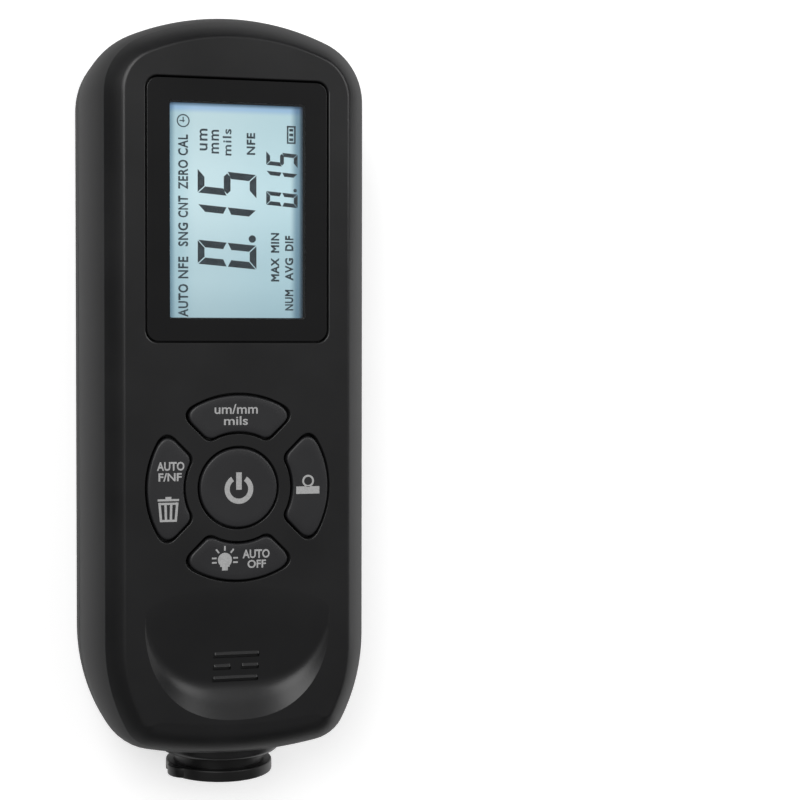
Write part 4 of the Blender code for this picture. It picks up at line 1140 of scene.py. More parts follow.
@dataclass
class Housing:
    """The two shells, the thumb dish, the battery door and the case screws."""

    outline: Outline = field(default_factory=Outline)
    half_count: int = 140
    coarse_count: int = 40
    face_inset: float = 5.2 * MM
    edge_inset: float = 2.2 * MM
    edge_drop: float = 2.4 * MM
    flare_depth: float = 14.7 * MM
    flare_steps: int = 14
    flare_even: float = 0.8
    bevel_bulge: float = 0.22
    bevel_shares: tuple[float, ...] = (0.06, 0.16, 0.3, 0.44, 0.58, 0.72, 0.84, 0.94)
    face_round: float = 0.28 * MM
    faded_inset: float = 7.4 * MM
    fade_height: float = 5.0 * MM
    back_round: float = 4.5 * MM
    side_wall: float = 2.0 * MM
    face_wall: float = 2.5 * MM
    lip_wall: float = 0.85 * MM
    lip_height: float = 1.2 * MM
    boss_radius: float = 10.7 * MM
    boss_edge: float = 0.8 * MM
    boss_length: float = 4.4 * MM
    neck_radius: float = 8.0 * MM
    dish_centre_below_keys: float = 21.0 * MM
    dish_half_width: float = 16.0 * MM
    dish_up: float = 4.6 * MM
    dish_down: float = 18.0 * MM
    dish_power: float = 2.35
    dish_depth: float = 2.9 * MM
    dish_ramp_power: float = 1.6
    dish_ramp_share: float = 0.72
    dish_wall_slope: float = 0.78
    dish_gentle_share: float = 0.75
    dish_foot_share: float = 0.55
    rib_below_keys: float = 30.1 * MM
    rib_spacing: float = 2.12 * MM
    rib_length: float = 7.7 * MM
    rib_width: float = 0.62 * MM
    rib_proud: float = 0.29 * MM
    rib_split: float = 2.0 * MM
    rib_end_share: float = 0.4
    # Section of a rib, as shares of half its width and of how proud it is
    rib_section: tuple[tuple[float, float], ...] = (
        (1.0, -1.6),
        (1.0, 0.0),
        (-0.5, 0.9),
        (-0.7, 0.98),
        (-0.85, 0.96),
        (-0.95, 0.88),
        (-1.0, 0.75),
        (-1.0, -1.6),
    )
    # How far from a rib's end each ring lies, as a share of its rounding, and how tall the rib is there
    rib_stations: tuple[tuple[float, float], ...] = ((0.0, 0.35), (0.25, 0.75), (1.0, 1.0))
    groove_width: float = 0.55 * MM
    groove_depth: float = 0.6 * MM
    window_half_width: float = 15.7 * MM
    window_half_length: float = 22.025 * MM
    window_corner: float = 2.2 * MM
    opening_edge: float = 0.16 * MM
    bay_wall: float = 1.5 * MM
    frame_rise: float = 1.4 * MM
    door_thick: float = 1.7 * MM
    door_corner: float = 2.5 * MM
    door_edge: float = 0.25 * MM
    tab_spread: float = 7.0 * MM
    tab_width: float = 5.0 * MM
    tab_top: float = 2.9 * MM
    tab_bottom: float = 1.65 * MM
    tab_reach: float = 2.1 * MM
    tab_root: float = 3.0 * MM
    tongue_half_width: float = 2.0 * MM
    front_post: float = 2.9 * MM
    rear_post: float = 3.5 * MM
    screw_head: float = 2.0 * MM
    screw_shank: float = 1.1 * MM
    screw_head_height: float = 1.5 * MM
    screw_head_edge: float = 0.55 * MM
    screw_point: float = 0.3 * MM
    cross_reach: float = 1.2 * MM
    cross_half_width: float = 0.32 * MM
    cross_depth: float = 0.75 * MM
    grip_count: int = 5
    grip_spacing: float = 1.8 * MM
    grip_width: float = 14.0 * MM
    grip_depth: float = 0.4 * MM
    grip_start: float = 2.5 * MM

    @property
    def edge_z(self) -> float:
        """The height of the edge between the flared side and the bevel."""
        return FACE_Z - self.edge_drop

    @property
    def dish_y(self) -> float:
        """Where the middle of the thumb dish lies along Y."""
        return KEYS_Y - self.dish_centre_below_keys

    def ring(self, inset: float, z: float, count: int = 0) -> list[Vector]:
        """Returns the outline moved in, at one height.

        Args:
            inset: How far it is moved in.
            z: The height.
            count: The number of spaces in each half, or 0 for the fine one.

        Returns:
            The points of the ring.
        """
        stations = self.outline.stations(count or self.half_count)
        return [Vector((*(base - out * inset), z)) for base, out in stations]

    def fading_ring(self, sharp: tuple[float, float], soft: tuple[float, float]) -> list[Vector]:
        """Returns a ring whose form changes from a crisp one to a soft one over the probe.

        Args:
            sharp: The inset and height along the sides and the top.
            soft: The inset and height over the probe, where the edge of the face fades out.

        Returns:
            The points of the ring.
        """
        points = []
        for base, out in self.outline.stations(self.half_count):
            fade = smoothstep(1.0 - (base.y - self.outline.bottom_y) / self.fade_height)
            inset = mix(sharp[0], soft[0], fade)
            points.append(Vector((*(base - out * inset), mix(sharp[1], soft[1], fade))))
        return points

    def outer_form(self) -> BMesh:
        """Returns the solid of the front shell's outer form: upright, flared, bevelled, then flat."""
        flare = self.flare_depth - self.edge_drop
        start_z = FACE_Z - self.flare_depth
        rings = [self.ring(0.0, z) for z in (SEAM_Z - GAP, SEAM_Z + GAP / 2, start_z - flare / 6, start_z)]
        for index in range(1, self.flare_steps + 1):
            share = index / self.flare_steps
            lean = self.flare_even * share**2 + (1.0 - self.flare_even) * share**6
            rings.append(self.ring(self.edge_inset * lean, start_z + flare * share))
        width = self.face_inset - self.edge_inset
        soft_width = self.faded_inset - self.edge_inset
        for share in self.bevel_shares:
            rise = share + self.bevel_bulge * share * (1.0 - share)
            sharp = (self.edge_inset + width * share, self.edge_z + self.edge_drop * rise)
            soft_z = FACE_Z - self.edge_drop * (1.0 - share) ** 2
            rings.append(self.fading_ring(sharp, (self.edge_inset + soft_width * share, soft_z)))
        # The last rounding: shares of face_round inward, down, and inward over the probe
        for across, down, soft in ((0.0, 0.16, -0.5), (0.45, 0.05, -0.25), (1.0, 0.0, 0.0)):
            sharp = (self.face_inset + self.face_round * across, FACE_Z - self.face_round * down)
            rings.append(self.fading_ring(sharp, (self.faded_inset + self.face_round * soft, FACE_Z)))
        return loft(rings)

    def boss(self) -> BMesh:
        """Returns the round boss that the probe's collar passes through."""
        profile = [(0.0, self.boss_length), (self.boss_radius, self.boss_length)]
        edge = self.boss_edge
        profile += [(self.boss_radius - edge * across, edge * along) for across, along in quarter_round(9)]
        profile.append((0.0, 0.0))
        return turned(profile, BOSS_END_Y, 120)

    def dish(self, grow: float, lower: float, ratios: Sequence[float], steps: int) -> BMesh:
        """Returns the space of the thumb dish: a ramp toward the probe, with walls up to its rim.

        Args:
            grow: How far it is grown sideways.
            lower: How far it is moved down.
            ratios: The rings that it has, as shares of its size.
            steps: The number of points in a ring.

        Returns:
            The solid to cut away.
        """
        rings = []
        for ratio in ratios:
            ring = []
            for index in range(steps):
                cos, sin = math.cos(2 * math.pi * index / steps), math.sin(2 * math.pi * index / steps)
                reach = (self.dish_up if sin > 0.0 else self.dish_down) + grow
                power = 1.0 if sin > 0.0 else 2.0 / self.dish_power
                x = (self.dish_half_width + grow) * ratio * math.copysign(abs(cos) ** power, cos)
                y = reach * ratio * math.copysign(abs(sin) ** power, sin)
                gentle = mix(1.0, self.dish_gentle_share, max(-sin, 0.0) ** 3)
                to_rim = (1.0 - ratio) * math.hypot(x, y) / ratio * gentle
                ring.append(Vector((x, self.dish_y + y, FACE_Z - lower - self.dish_floor(x, y, to_rim))))
            rings.append(ring)
        rings.append([Vector((p.x, p.y, FACE_Z - lower + self.dish_depth)) for p in rings[-1]])
        return loft(rings)

    def dish_floor(self, across: float, along: float, to_rim: float) -> float:
        """Returns how deep the dish is at one point, where its ramp flows into its sloping wall.

        Args:
            across: The distance of the point from the dish's middle, along X.
            along: Its distance from there along Y.
            to_rim: Its distance from the rim, less where the wall is gentle, and below 0 outside it.

        Returns:
            The depth below the face.
        """
        start = self.dish_up * math.sqrt(max(1.0 - (across / self.dish_half_width) ** 2, 0.0))
        ramp = max(start - along, 0.0) / (self.dish_up + self.dish_down * self.dish_ramp_share)
        floor = self.dish_depth * min(ramp, 1.0) ** self.dish_ramp_power
        wall = self.dish_wall_slope * to_rim
        foot = max(floor * self.dish_foot_share, MERGE_DISTANCE)
        share = min(max(0.5 + 0.5 * (wall - floor) / foot, 0.0), 1.0)
        return mix(wall, floor, share) - foot * share * (1.0 - share)

    def middle_floor(self, y: float) -> float:
        """Returns the height of the dish's floor on the middle line."""
        along = y - self.dish_y
        return FACE_Z - self.dish_floor(0.0, along, self.dish_down + along)

    def rib_spans(self) -> list[tuple[float, float, float]]:
        """Returns the left end, right end and middle line of each rib, with the middle rib split in two."""
        half, split = self.rib_length / 2, self.rib_split / 2
        spans = []
        for row in (-1, 0, 1):
            y = KEYS_Y - self.rib_below_keys + row * self.rib_spacing
            ends = [(-half, half)] if row else [(-half, -split), (split, half)]
            spans += [(start, end, y) for start, end in ends]
        return spans

    def ribs(self) -> BMesh:
        """Returns the three short ribs across the floor of the dish."""
        return together([self.ridge(start, end, y) for start, end, y in self.rib_spans()])

    def ridge(self, start: float, end: float, y: float) -> BMesh:
        """Returns one rib: a slope that faces the keys, and a steep side toward the probe.

        Args:
            start: Its left end.
            end: Its right end.
            y: Where its middle lies along Y.

        Returns:
            The rib, sunk into the floor.
        """
        half, floor = self.rib_width / 2, self.middle_floor(y)
        rounding = self.rib_width * self.rib_end_share
        places = [(start + rounding * far, tall) for far, tall in self.rib_stations]
        places += [(end - rounding * far, tall) for far, tall in reversed(self.rib_stations)]
        rings = []
        for x, tall in places:
            ring = []
            for across, share in self.rib_section:
                up = max(share, 0.0) * tall + min(share, 0.0)
                ring.append(Vector((x, y + half * across, floor + self.rib_proud * up)))
            rings.append(ring)
        return loft(rings)

    def grooves(self) -> BMesh:
        """Returns the shallow groove on the probe's side of each rib."""
        wide = self.groove_width
        parts = []
        for start, end, middle_y in self.rib_spans():
            y = middle_y - self.rib_width / 2
            floor = self.middle_floor(y)
            low = (start - wide / 4, y - wide, floor - self.groove_depth)
            high = (end + wide / 4, y + self.rib_width / 6, floor + self.rib_proud)
            parts.append(soft_box(low, high, wide * ARRIS, 0.0, 4))
        return together(parts)

    def cavity(self) -> BMesh:
        """Returns the space inside the front shell, less the boss, the posts and the dish's wall."""
        flare = self.flare_depth - self.edge_drop
        lip_z = SEAM_Z + self.lip_height + 2 * GAP
        sections = (
            (self.lip_wall, SEAM_Z - self.side_wall),
            (self.lip_wall, lip_z),
            (self.side_wall, lip_z),
            (self.side_wall, FACE_Z - self.flare_depth),
            (self.side_wall + self.edge_inset * 0.2, self.edge_z - flare * 0.45),
            (self.side_wall + self.edge_inset * 0.55, self.edge_z - flare * 0.17),
            (self.edge_inset + self.face_wall, FACE_Z - self.face_wall),
        )
        space = loft([self.ring(inset, z, self.coarse_count) for inset, z in sections])
        dish = self.dish(self.side_wall / 2, self.side_wall, (0.5, 0.7, 0.85, 0.96, 1.04), 40)
        steps = [cut(dish), cut(self.boss())]
        for node in SCREW_NODES:
            place = middle(node)
            ends = level_with(place, SEAM_Z + 2 * GAP), level_with(place, FACE_Z)
            steps.append(cut(cylinder(self.front_post, *ends, 32)))
        return carve(space, steps)

    def window_pocket(self) -> BMesh:
        """Returns the recess for the window, and the opening below it for the display."""
        plate_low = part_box("display_window")[0].z
        panel_low, panel_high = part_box("lcd_panel")
        half_x, half_y, edge = self.window_half_width, self.window_half_length, self.opening_edge
        ledge_x, ledge_y = panel_high.x + GAP, (panel_high.y - panel_low.y) / 2 + GAP
        levels = (
            (half_x + edge, half_y + edge, FACE_Z + GAP),
            (half_x + edge, half_y + edge, FACE_Z),
            (half_x + edge * ARRIS, half_y + edge * ARRIS, FACE_Z - edge * ARRIS),
            (half_x, half_y, FACE_Z - edge),
            (half_x, half_y, plate_low - GAP),
            (ledge_x, ledge_y, plate_low - GAP),
            (ledge_x, ledge_y, panel_low.z),
        )
        return loft([rounded_rectangle(x, y, self.window_corner, WINDOW_Y, z) for x, y, z in levels])

    def collar_bore(self) -> BMesh:
        """Returns the bore that the probe's collar passes through."""
        start = Vector((0.0, TIP_Y - GAP, PROBE_Z))
        end = Vector((0.0, BOSS_END_Y + self.boss_length + GAP, PROBE_Z))
        return cylinder(self.neck_radius + GAP, start, end, 96)

    def front(self, keypad: Keypad) -> BMesh:
        """Returns the front shell.

        Args:
            keypad: The keys that it has openings for.

        Returns:
            The moulding.
        """
        # Rings of the dish: far apart on its floor, close on its wall, and one just outside its rim
        ratios = [0.1 + 0.5 * i / 6 for i in range(7)] + [0.6 + 0.4 * i / 24 for i in range(1, 24)] + [1.02]
        steps = [
            join(self.boss()),
            cut(box((-HALF_WIDTH, TIP_Y, -FACE_Z), (HALF_WIDTH, TOP_Y, SEAM_Z + GAP / 2))),
            cut(self.cavity()),
            cut(self.dish(0.0, 0.0, ratios, 160)),
            cut(self.window_pocket()),
            cut(self.collar_bore()),
            *[cut(opening) for opening in keypad.openings()],
        ]
        for node in SCREW_NODES:
            place = middle(node)
            ends = level_with(place, 0.0), level_with(place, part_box(node)[1].z + 2 * GAP)
            steps.append(cut(cylinder(self.screw_shank + GAP, *ends, 24)))
        steps += [cut(self.grooves()), join(self.ribs())]
        return carve(self.outer_form(), steps)

    def rear_sections(self) -> list[list[Vector]]:
        """Returns the rings of the rear shell's outer form, from its flat back to its locating lip."""
        rings = [self.ring(self.back_round * down, self.back_round * up) for up, down in quarter_round(10)]
        top_z = SEAM_Z - GAP / 2
        lip = self.lip_wall + GAP
        for inset, z in ((0.0, top_z), (lip, top_z), (lip, SEAM_Z + self.lip_height)):
            rings.append(self.ring(inset, z))
        return rings

    def rear(self) -> BMesh:
        """Returns the rear shell, with the battery bay, the recess for its door and the screw posts."""
        top_z = SEAM_Z - GAP / 2
        sections = (
            (self.side_wall * 1.6, self.side_wall),
            (self.side_wall, self.side_wall * 2),
            (self.side_wall, SEAM_Z + self.lip_height + self.side_wall),
        )
        space = loft([self.ring(inset, z, self.coarse_count) for inset, z in sections])
        inner = [cut(self.boss())]
        for node in SCREW_NODES:
            place = middle(node)
            ends = level_with(place, 0.0), level_with(place, SEAM_Z + GAP)
            inner.append(cut(cylinder(self.rear_post, *ends, 32)))
        space = carve(space, inner)
        wall = self.bay_wall
        cell_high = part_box("battery_cell_right")[1]
        bay_low_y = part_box("contact_negative")[0].y - GAP
        bay_high = Vector((cell_high.x + GAP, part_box("contact_bridge")[1].y + GAP, cell_high.z + GAP))
        door_low, door_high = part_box("battery_door")
        door_top = door_high.y - (self.tab_reach - GAP)
        ledge_z = door_low.z + self.door_thick + GAP
        boss_reach = self.boss_radius + self.side_wall
        boss_high = (boss_reach, BOSS_END_Y + self.boss_length + GAP, FACE_Z)
        boss_room = box((-boss_reach, TIP_Y, top_z), boss_high)
        bay_walls = box(
            (-bay_high.x - wall, bay_low_y - wall, self.side_wall / 2),
            (bay_high.x + wall, bay_high.y + wall, bay_high.z + wall),
        )
        door_frame = box(
            (door_low.x - GAP - wall, door_low.y - GAP - wall, self.side_wall / 2),
            (door_high.x + GAP + wall, door_top + GAP + wall, ledge_z + self.frame_rise),
        )
        door_recess = soft_box(
            (door_low.x - GAP, door_low.y - GAP, -self.side_wall),
            (door_high.x + GAP, door_top + GAP, ledge_z),
            self.door_corner + GAP,
        )
        steps = [
            join(self.boss()),
            cut(boss_room),
            cut(space),
            join(bay_walls),
            join(door_frame),
            cut(box((-bay_high.x, bay_low_y, -self.side_wall), bay_high)),
            cut(door_recess),
            cut(self.collar_bore()),
        ]
        half = self.tab_width / 2 + GAP
        for x in (-self.tab_spread, self.tab_spread):
            low = (x - half, bay_high.y - wall, self.tab_bottom - GAP)
            steps.append(cut(box(low, (x + half, door_high.y + 3 * GAP, self.tab_top + 4 * GAP))))
        for node in SCREW_NODES:
            place = middle(node)
            head_top = level_with(place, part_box(node)[0].z + self.screw_head_height + GAP)
            steps.append(cut(cylinder(self.screw_head + GAP, level_with(place, -GAP), head_top)))
            shank_top = level_with(place, SEAM_Z + self.lip_height + GAP)
            steps.append(cut(cylinder(self.screw_shank + GAP, level_with(place, 0.0), shank_top, 32)))
        return carve(loft(self.rear_sections()), steps)

    def door(self) -> BMesh:
        """Returns the lid of the battery bay, with its tabs, latch tongue and grip grooves."""
        low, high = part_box("battery_door")
        plate_top = low.z + self.door_thick
        door_top = high.y - (self.tab_reach - GAP)
        lid = soft_box(low, (high.x, door_top, plate_top), self.door_corner, self.door_edge)
        steps = []
        half, root_y = self.tab_width / 2, door_top - self.tab_root
        for x in (-self.tab_spread, self.tab_spread):
            root = box((x - half, root_y, plate_top - GAP), (x + half, door_top - GAP, self.tab_top))
            hook = box((x - half, root_y, self.tab_bottom), (x + half, high.y, self.tab_top))
            steps += [join(root), join(hook)]
        tongue_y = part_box("contact_negative")[0].y + GAP
        wide = self.tongue_half_width
        steps.append(join(box((-wide, tongue_y, plate_top - GAP), (wide, tongue_y + self.bay_wall, high.z))))
        half = self.grip_width / 2
        for index in range(self.grip_count):
            y = low.y + self.grip_start + self.grip_spacing * (index + 0.5)
            ends = Vector((-half, y, low.z)), Vector((half, y, low.z))
            steps.append(cut(cylinder(self.grip_depth, *ends, 20, self.grip_depth * 0.6)))
        return carve(lid, steps)

    def screw(self, node: str) -> BMesh:
        """Returns one pan-head screw with a cross in its head.

        Args:
            node: The CAD node that it stands for.

        Returns:
            The screw, head down, because it is driven from the back.
        """
        low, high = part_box(node)
        place = middle(node)
        head_end = low.z + self.screw_head_height
        head = cylinder(self.screw_head, level_with(place, low.z), level_with(place, head_end), 48)
        rim = [e for e in head.edges if all(v.co.z < low.z + GAP for v in e.verts)]
        bevel(head, rim, self.screw_head_edge, 6)
        ends = level_with(place, head_end - GAP), level_with(place, high.z)
        steps = [join(cylinder(self.screw_shank, *ends, 32, self.screw_point))]
        reach, narrow = self.cross_reach, self.cross_half_width
        for long, wide in ((reach, narrow), (narrow, reach)):
            slot_low = (place.x - long, place.y - wide, low.z - GAP)
            steps.append(cut(box(slot_low, (place.x + long, place.y + wide, low.z + self.cross_depth))))
        return carve(head, steps)

    def build(self, finishes: Finishes, keypad: Keypad) -> None:
        """Models the housing's pieces and dresses them.

        Args:
            finishes: The materials.
            keypad: The keys that the front shell has openings for.
        """
        abs_plastic = finishes.housing
        front = self.front(keypad)
        add_piece("front_moulding", front, abs_plastic, Body.HOUSING, ["front_shell"], 14.0)
        add_piece("rear_moulding", self.rear(), abs_plastic, Body.HOUSING, ["rear_shell"])
        add_piece("battery_lid", self.door(), abs_plastic, Body.DOOR, ["battery_door"])
        for number, node in enumerate(SCREW_NODES, 1):
            add_piece(f"pan_screw_{number}", self.screw(node), finishes.steel, Body.HOUSING, [node])


def rounded_rectangle(
    half_x: float, half_y: float, corner: float, centre_y: float, z: float, steps: int = 10
) -> list[Vector]:
    """Returns a rectangle with round corners, centred on the middle line.

    Args:
        half_x: Half its width.
        half_y: Half its length.
        corner: The radius of its corners.
        centre_y: Where its middle lies along Y.
        z: Its height.
        steps: The number of spaces round each corner.

    Returns:
        Its points, anticlockwise.
    """
    points = []
    for quadrant in range(4):
        side_x = 1 if quadrant in (0, 3) else -1
        side_y = 1 if quadrant in (0, 1) else -1
        for index in range(steps + 1):
            angle = (quadrant + index / steps) * math.pi / 2
            x = side_x * (half_x - corner) + corner * math.cos(angle)
            y = side_y * (half_y - corner) + corner * math.sin(angle)
            points.append(Vector((x, centre_y + y, z)))
    return points


# Keypad


@dataclass(frozen=True)
class Key:
    """One key: its node, its body and how far it is turned round the power key."""

    node: str
    body: Body
    degrees: float | None


@dataclass
class Keypad:
    """The round power key, the four keys that ring it, and their printed legends."""

    power_radius: float = 6.62 * MM
    ring_inner: float = 9.35 * MM
    ring_outer: float = 15.5 * MM
    web_half: float = 2.05 * MM
    outer_corner: float = 2.3 * MM
    inner_corner: float = 1.3 * MM
    corner_pull: float = 0.9
    gap: float = 0.35 * MM
    edge: float = 0.35 * MM
    opening_edge: float = 0.14 * MM
    crown: float = 0.05 * MM
    # Distances in from the rounding: where the crown is level, and where it has dropped a little
    crown_level: float = 0.9 * MM
    crown_slope: float = 0.4 * MM
    print_thick: float = 0.02 * MM
    flange: float = 1.0 * MM
    flange_thick: float = 1.2 * MM
    face_wall: float = 2.5 * MM
    stem_radius: float = 1.5 * MM
    stem_edge: float = 0.2 * MM
    word_weight: float = 0.026
    keys: tuple[Key, ...] = (
        Key("power_key", Body.POWER, None),
        Key("units_key", Body.UNITS, 0.0),
        Key("mode_key", Body.MODE, 90.0),
        Key("light_key", Body.LIGHT, 180.0),
        Key("zero_key", Body.ZERO, 270.0),
    )

    def rounded(self, before: Vector, corner: Vector, after: Vector, reach: float) -> list[Vector]:
        """Returns the curve that replaces a corner.

        Args:
            before: The point before the corner.
            corner: The corner.
            after: The point after it.
            reach: How far from the corner it starts.

        Returns:
            The points of the curve.
        """
        start = corner + (before - corner).normalized() * reach
        end = corner + (after - corner).normalized() * reach
        pull = corner * self.corner_pull + (start + end) / 2 * (1.0 - self.corner_pull)
        steps = 9
        shares = [index / steps for index in range(steps + 1)]
        return [start * (1 - t) ** 2 + pull * 2 * t * (1 - t) + end * t**2 for t in shares]

    def outline(self, key: Key, grow: float, z: float) -> list[Vector]:
        """Returns the outline of a key, grown outward.

        Args:
            key: The key.
            grow: How far it is grown.
            z: Its height.

        Returns:
            Its points, in place.
        """
        if key.degrees is None:
            turns = [2 * math.pi * index / 120 for index in range(120)]
            radius = self.power_radius + grow
            return [Vector((radius * math.cos(a), KEYS_Y + radius * math.sin(a), z)) for a in turns]
        outer, inner, web = self.ring_outer + grow, self.ring_inner - grow, self.web_half - grow
        outer_lean = math.pi / 4 + math.asin(web / outer)
        inner_lean = math.pi / 4 + math.asin(web / inner)
        runs = (
            (outer, outer_lean, math.pi - outer_lean, 44, self.outer_corner),
            (inner, math.pi - inner_lean, inner_lean, 28, self.inner_corner),
        )
        points, corners = [], {}
        for radius, start, end, steps, corner in runs:
            corners |= {len(points): corner, len(points) + steps: corner}
            for index in range(steps + 1):
                angle = mix(start, end, index / steps)
                points.append(Vector((radius * math.cos(angle), radius * math.sin(angle))))
        rounded = self.trimmed(points, corners)
        turn = Matrix.Rotation(math.radians(key.degrees), 2)
        return [Vector((*(turn @ point + Vector((0.0, KEYS_Y))), z)) for point in rounded]

    def trimmed(self, points: list[Vector], corners: dict[int, float]) -> list[Vector]:
        """Rounds the corners of an outline, leaving out the points that the curves pass.

        Args:
            points: The outline.
            corners: How far the rounding of each corner reaches, by its place in the list.

        Returns:
            The rounded outline.
        """
        kept: list[Vector] = []
        for index, point in enumerate(points):
            if index in corners:
                reach = corners[index]
                before = self.beyond(points, index, -1, reach)
                after = self.beyond(points, index, 1, reach)
                kept += self.rounded(before, point, after, reach)
            elif all((point - points[tip]).length > reach * 1.02 for tip, reach in corners.items()):
                kept.append(point)
        return kept

    def beyond(self, points: list[Vector], index: int, step: int, reach: float) -> Vector:
        """Returns the first point of an outline that lies past the rounding of a corner.

        Args:
            points: The outline.
            index: The place of the corner.
            step: 1 to look forward, or -1 to look back.
            reach: How far the rounding reaches.

        Returns:
            The point.
        """
        place = index
        while (points[place] - points[index]).length <= reach:
            place = (place + step) % len(points)
        return points[place]

    def openings(self) -> list[BMesh]:
        """Returns the openings in the face, each with a finely rounded rim."""
        solids = []
        low = FACE_Z - 2 * self.face_wall
        for key in self.keys:
            levels = [(self.gap, low)]
            for out, down in quarter_round(9):
                levels.append((self.gap + self.opening_edge * out, FACE_Z - self.opening_edge * down))
            levels.append((self.gap + self.opening_edge, FACE_Z + 2 * GAP))
            solids.append(loft([self.outline(key, grow, z) for grow, z in levels]))
        return solids

    def cap(self, key: Key) -> BMesh:
        """Returns a key cap with a rounded, slightly crowned top, a flange and a stem.

        Args:
            key: The key.

        Returns:
            The cap.
        """
        low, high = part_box(key.node)
        top = high.z - self.print_thick
        slope_z = top - self.crown * ARRIS
        levels = [(-self.edge - self.crown_level, top), (-self.edge - self.crown_slope, slope_z)]
        for down, inward in quarter_round(6):
            levels.append((-self.edge * inward, top - (self.crown + self.edge * down)))
        flange_top = FACE_Z - self.face_wall - GAP
        flange_low = flange_top - self.flange_thick
        levels += [(0.0, flange_top), (self.flange, flange_top), (self.flange, flange_low)]
        cap = loft([self.outline(key, grow, z) for grow, z in levels])
        centre = middle(key.node)
        if key.degrees is not None:
            reach = (self.ring_inner + self.ring_outer) / 2
            angle = math.radians(key.degrees + 90.0)
            centre = Vector((reach * math.cos(angle), KEYS_Y + reach * math.sin(angle), 0.0))
        ends = level_with(centre, low.z), level_with(centre, flange_low + self.flange_thick / 2)
        return carve(cap, [join(cylinder(self.stem_radius, *ends, 32, self.stem_edge))])

    def power_print(self) -> list[BMesh]:
        """Returns the symbol on the power key: a broken ring and a bar."""
        gap = math.radians(33)
        ring = band((0.0, -0.2 * MM), 2.46 * MM, 1.59 * MM, math.pi / 2 + gap, 2 * math.pi - 2 * gap)
        return [ring, plate((-0.475 * MM, -0.3 * MM), (0.475 * MM, 2.6 * MM))]

    def units_print(self) -> list[BMesh]:
        """Returns the names of the units."""
        return [
            lettering("um/mm", (-0.45 * MM, 13.2 * MM), (7.4 * MM, 1.64 * MM)),
            lettering("mils", (-0.5 * MM, 11.25 * MM), (4.1 * MM, 1.48 * MM)),
        ]

    def mode_print(self) -> list[BMesh]:
        """Returns the words on the left key, and the bin below them."""
        x, y = -12.0 * MM, -3.3 * MM
        words = [
            lettering("AUTO", (-11.6 * MM, 3.8 * MM), (4.64 * MM, 1.48 * MM), weight=self.word_weight),
            lettering("F/NF", (-11.7 * MM, 2.0 * MM), (3.9 * MM, 1.38 * MM), weight=self.word_weight),
        ]
        parts = [
            plate((x - 1.8 * MM, y + 1.33 * MM), (x + 1.8 * MM, y + 1.68 * MM)),
            plate((x - 0.5 * MM, y + 1.60 * MM), (x + 0.5 * MM, y + 2.05 * MM)),
            plate((x - 1.60 * MM, y + 0.72 * MM), (x + 1.60 * MM, y + 1.08 * MM)),
            plate((x - 1.32 * MM, y - 2.10 * MM), (x + 1.32 * MM, y - 1.74 * MM)),
        ]
        lean = math.radians(5)
        for side in (-1, 1):
            place = x + side * 1.36 * MM
            low, high = (place - 0.2 * MM, y - 2.1 * MM), (place + 0.2 * MM, y + 1.1 * MM)
            parts.append(plate(low, high, -side * lean))
            place = x + side * 0.45 * MM
            low, high = (place - 0.2 * MM, y - 2.0 * MM), (place + 0.2 * MM, y + 1.0 * MM)
            parts.append(plate(low, high, -side * lean / 3))
        return [*words, fused(parts)]

    def light_print(self) -> list[BMesh]:
        """Returns the lamp and its rays, and the words beside it."""
        x, y = -2.42 * MM, -12.0 * MM
        bulb = [
            disc((x, y), 1.2 * MM),
            plate((x - 0.8 * MM, y - 1.15 * MM), (x + 0.8 * MM, y - 0.7 * MM)),
            plate((x - 0.5 * MM, y - 1.75 * MM), (x + 0.5 * MM, y - 1.1 * MM)),
        ]
        parts = [
            fused(bulb),
            lettering("AUTO", (2.95 * MM, -11.1 * MM), (4.69 * MM, 1.48 * MM), weight=self.word_weight),
            lettering("OFF", (3.05 * MM, -12.8 * MM), (3.2 * MM, 1.38 * MM), weight=self.word_weight),
        ]
        for degrees in (90, 50, 130, 10, 170, -13, 193):
            angle = math.radians(degrees)
            reach, turn = (1.95 * MM, angle) if 20 < degrees < 160 else (1.85 * MM, 0.0)
            centre = Vector((x + reach * math.cos(angle), y + reach * math.sin(angle)))
            half = Vector((0.4 * MM, 0.14 * MM))
            parts.append(plate(tuple(centre - half), tuple(centre + half), turn))
        return parts

    def zero_print(self) -> list[BMesh]:
        """Returns the ring on a bar that stands for setting the gauge to zero."""
        return [
            band((12.0 * MM, 0.95 * MM), 1.03 * MM, 0.70 * MM),
            plate((9.92 * MM, -1.22 * MM), (13.98 * MM, 0.03 * MM)),
        ]

    def build(self, finishes: Finishes) -> None:
        """Models the keys and their print, and dresses them.

        Args:
            finishes: The materials.
        """
        prints: dict[str, Callable[[], list[BMesh]]] = {
            "power_key": self.power_print,
            "units_key": self.units_print,
            "mode_key": self.mode_print,
            "light_key": self.light_print,
            "zero_key": self.zero_print,
        }
        origin = Vector((0.0, KEYS_Y, 0.0))
        for key in self.keys:
            name = key.node.removesuffix("_key")
            add_piece(f"{name}_cap", self.cap(key), finishes.key, key.body, [key.node])
            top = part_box(key.node)[1].z
            ink = printed(prints[key.node](), origin, top - self.crown - self.print_thick, top)
            add_piece(f"{name}_legend", ink, finishes.legend, key.body)


# Display


SEGMENTS_OF = {"0": "abcdef", "1": "bc", "5": "acdfg"}


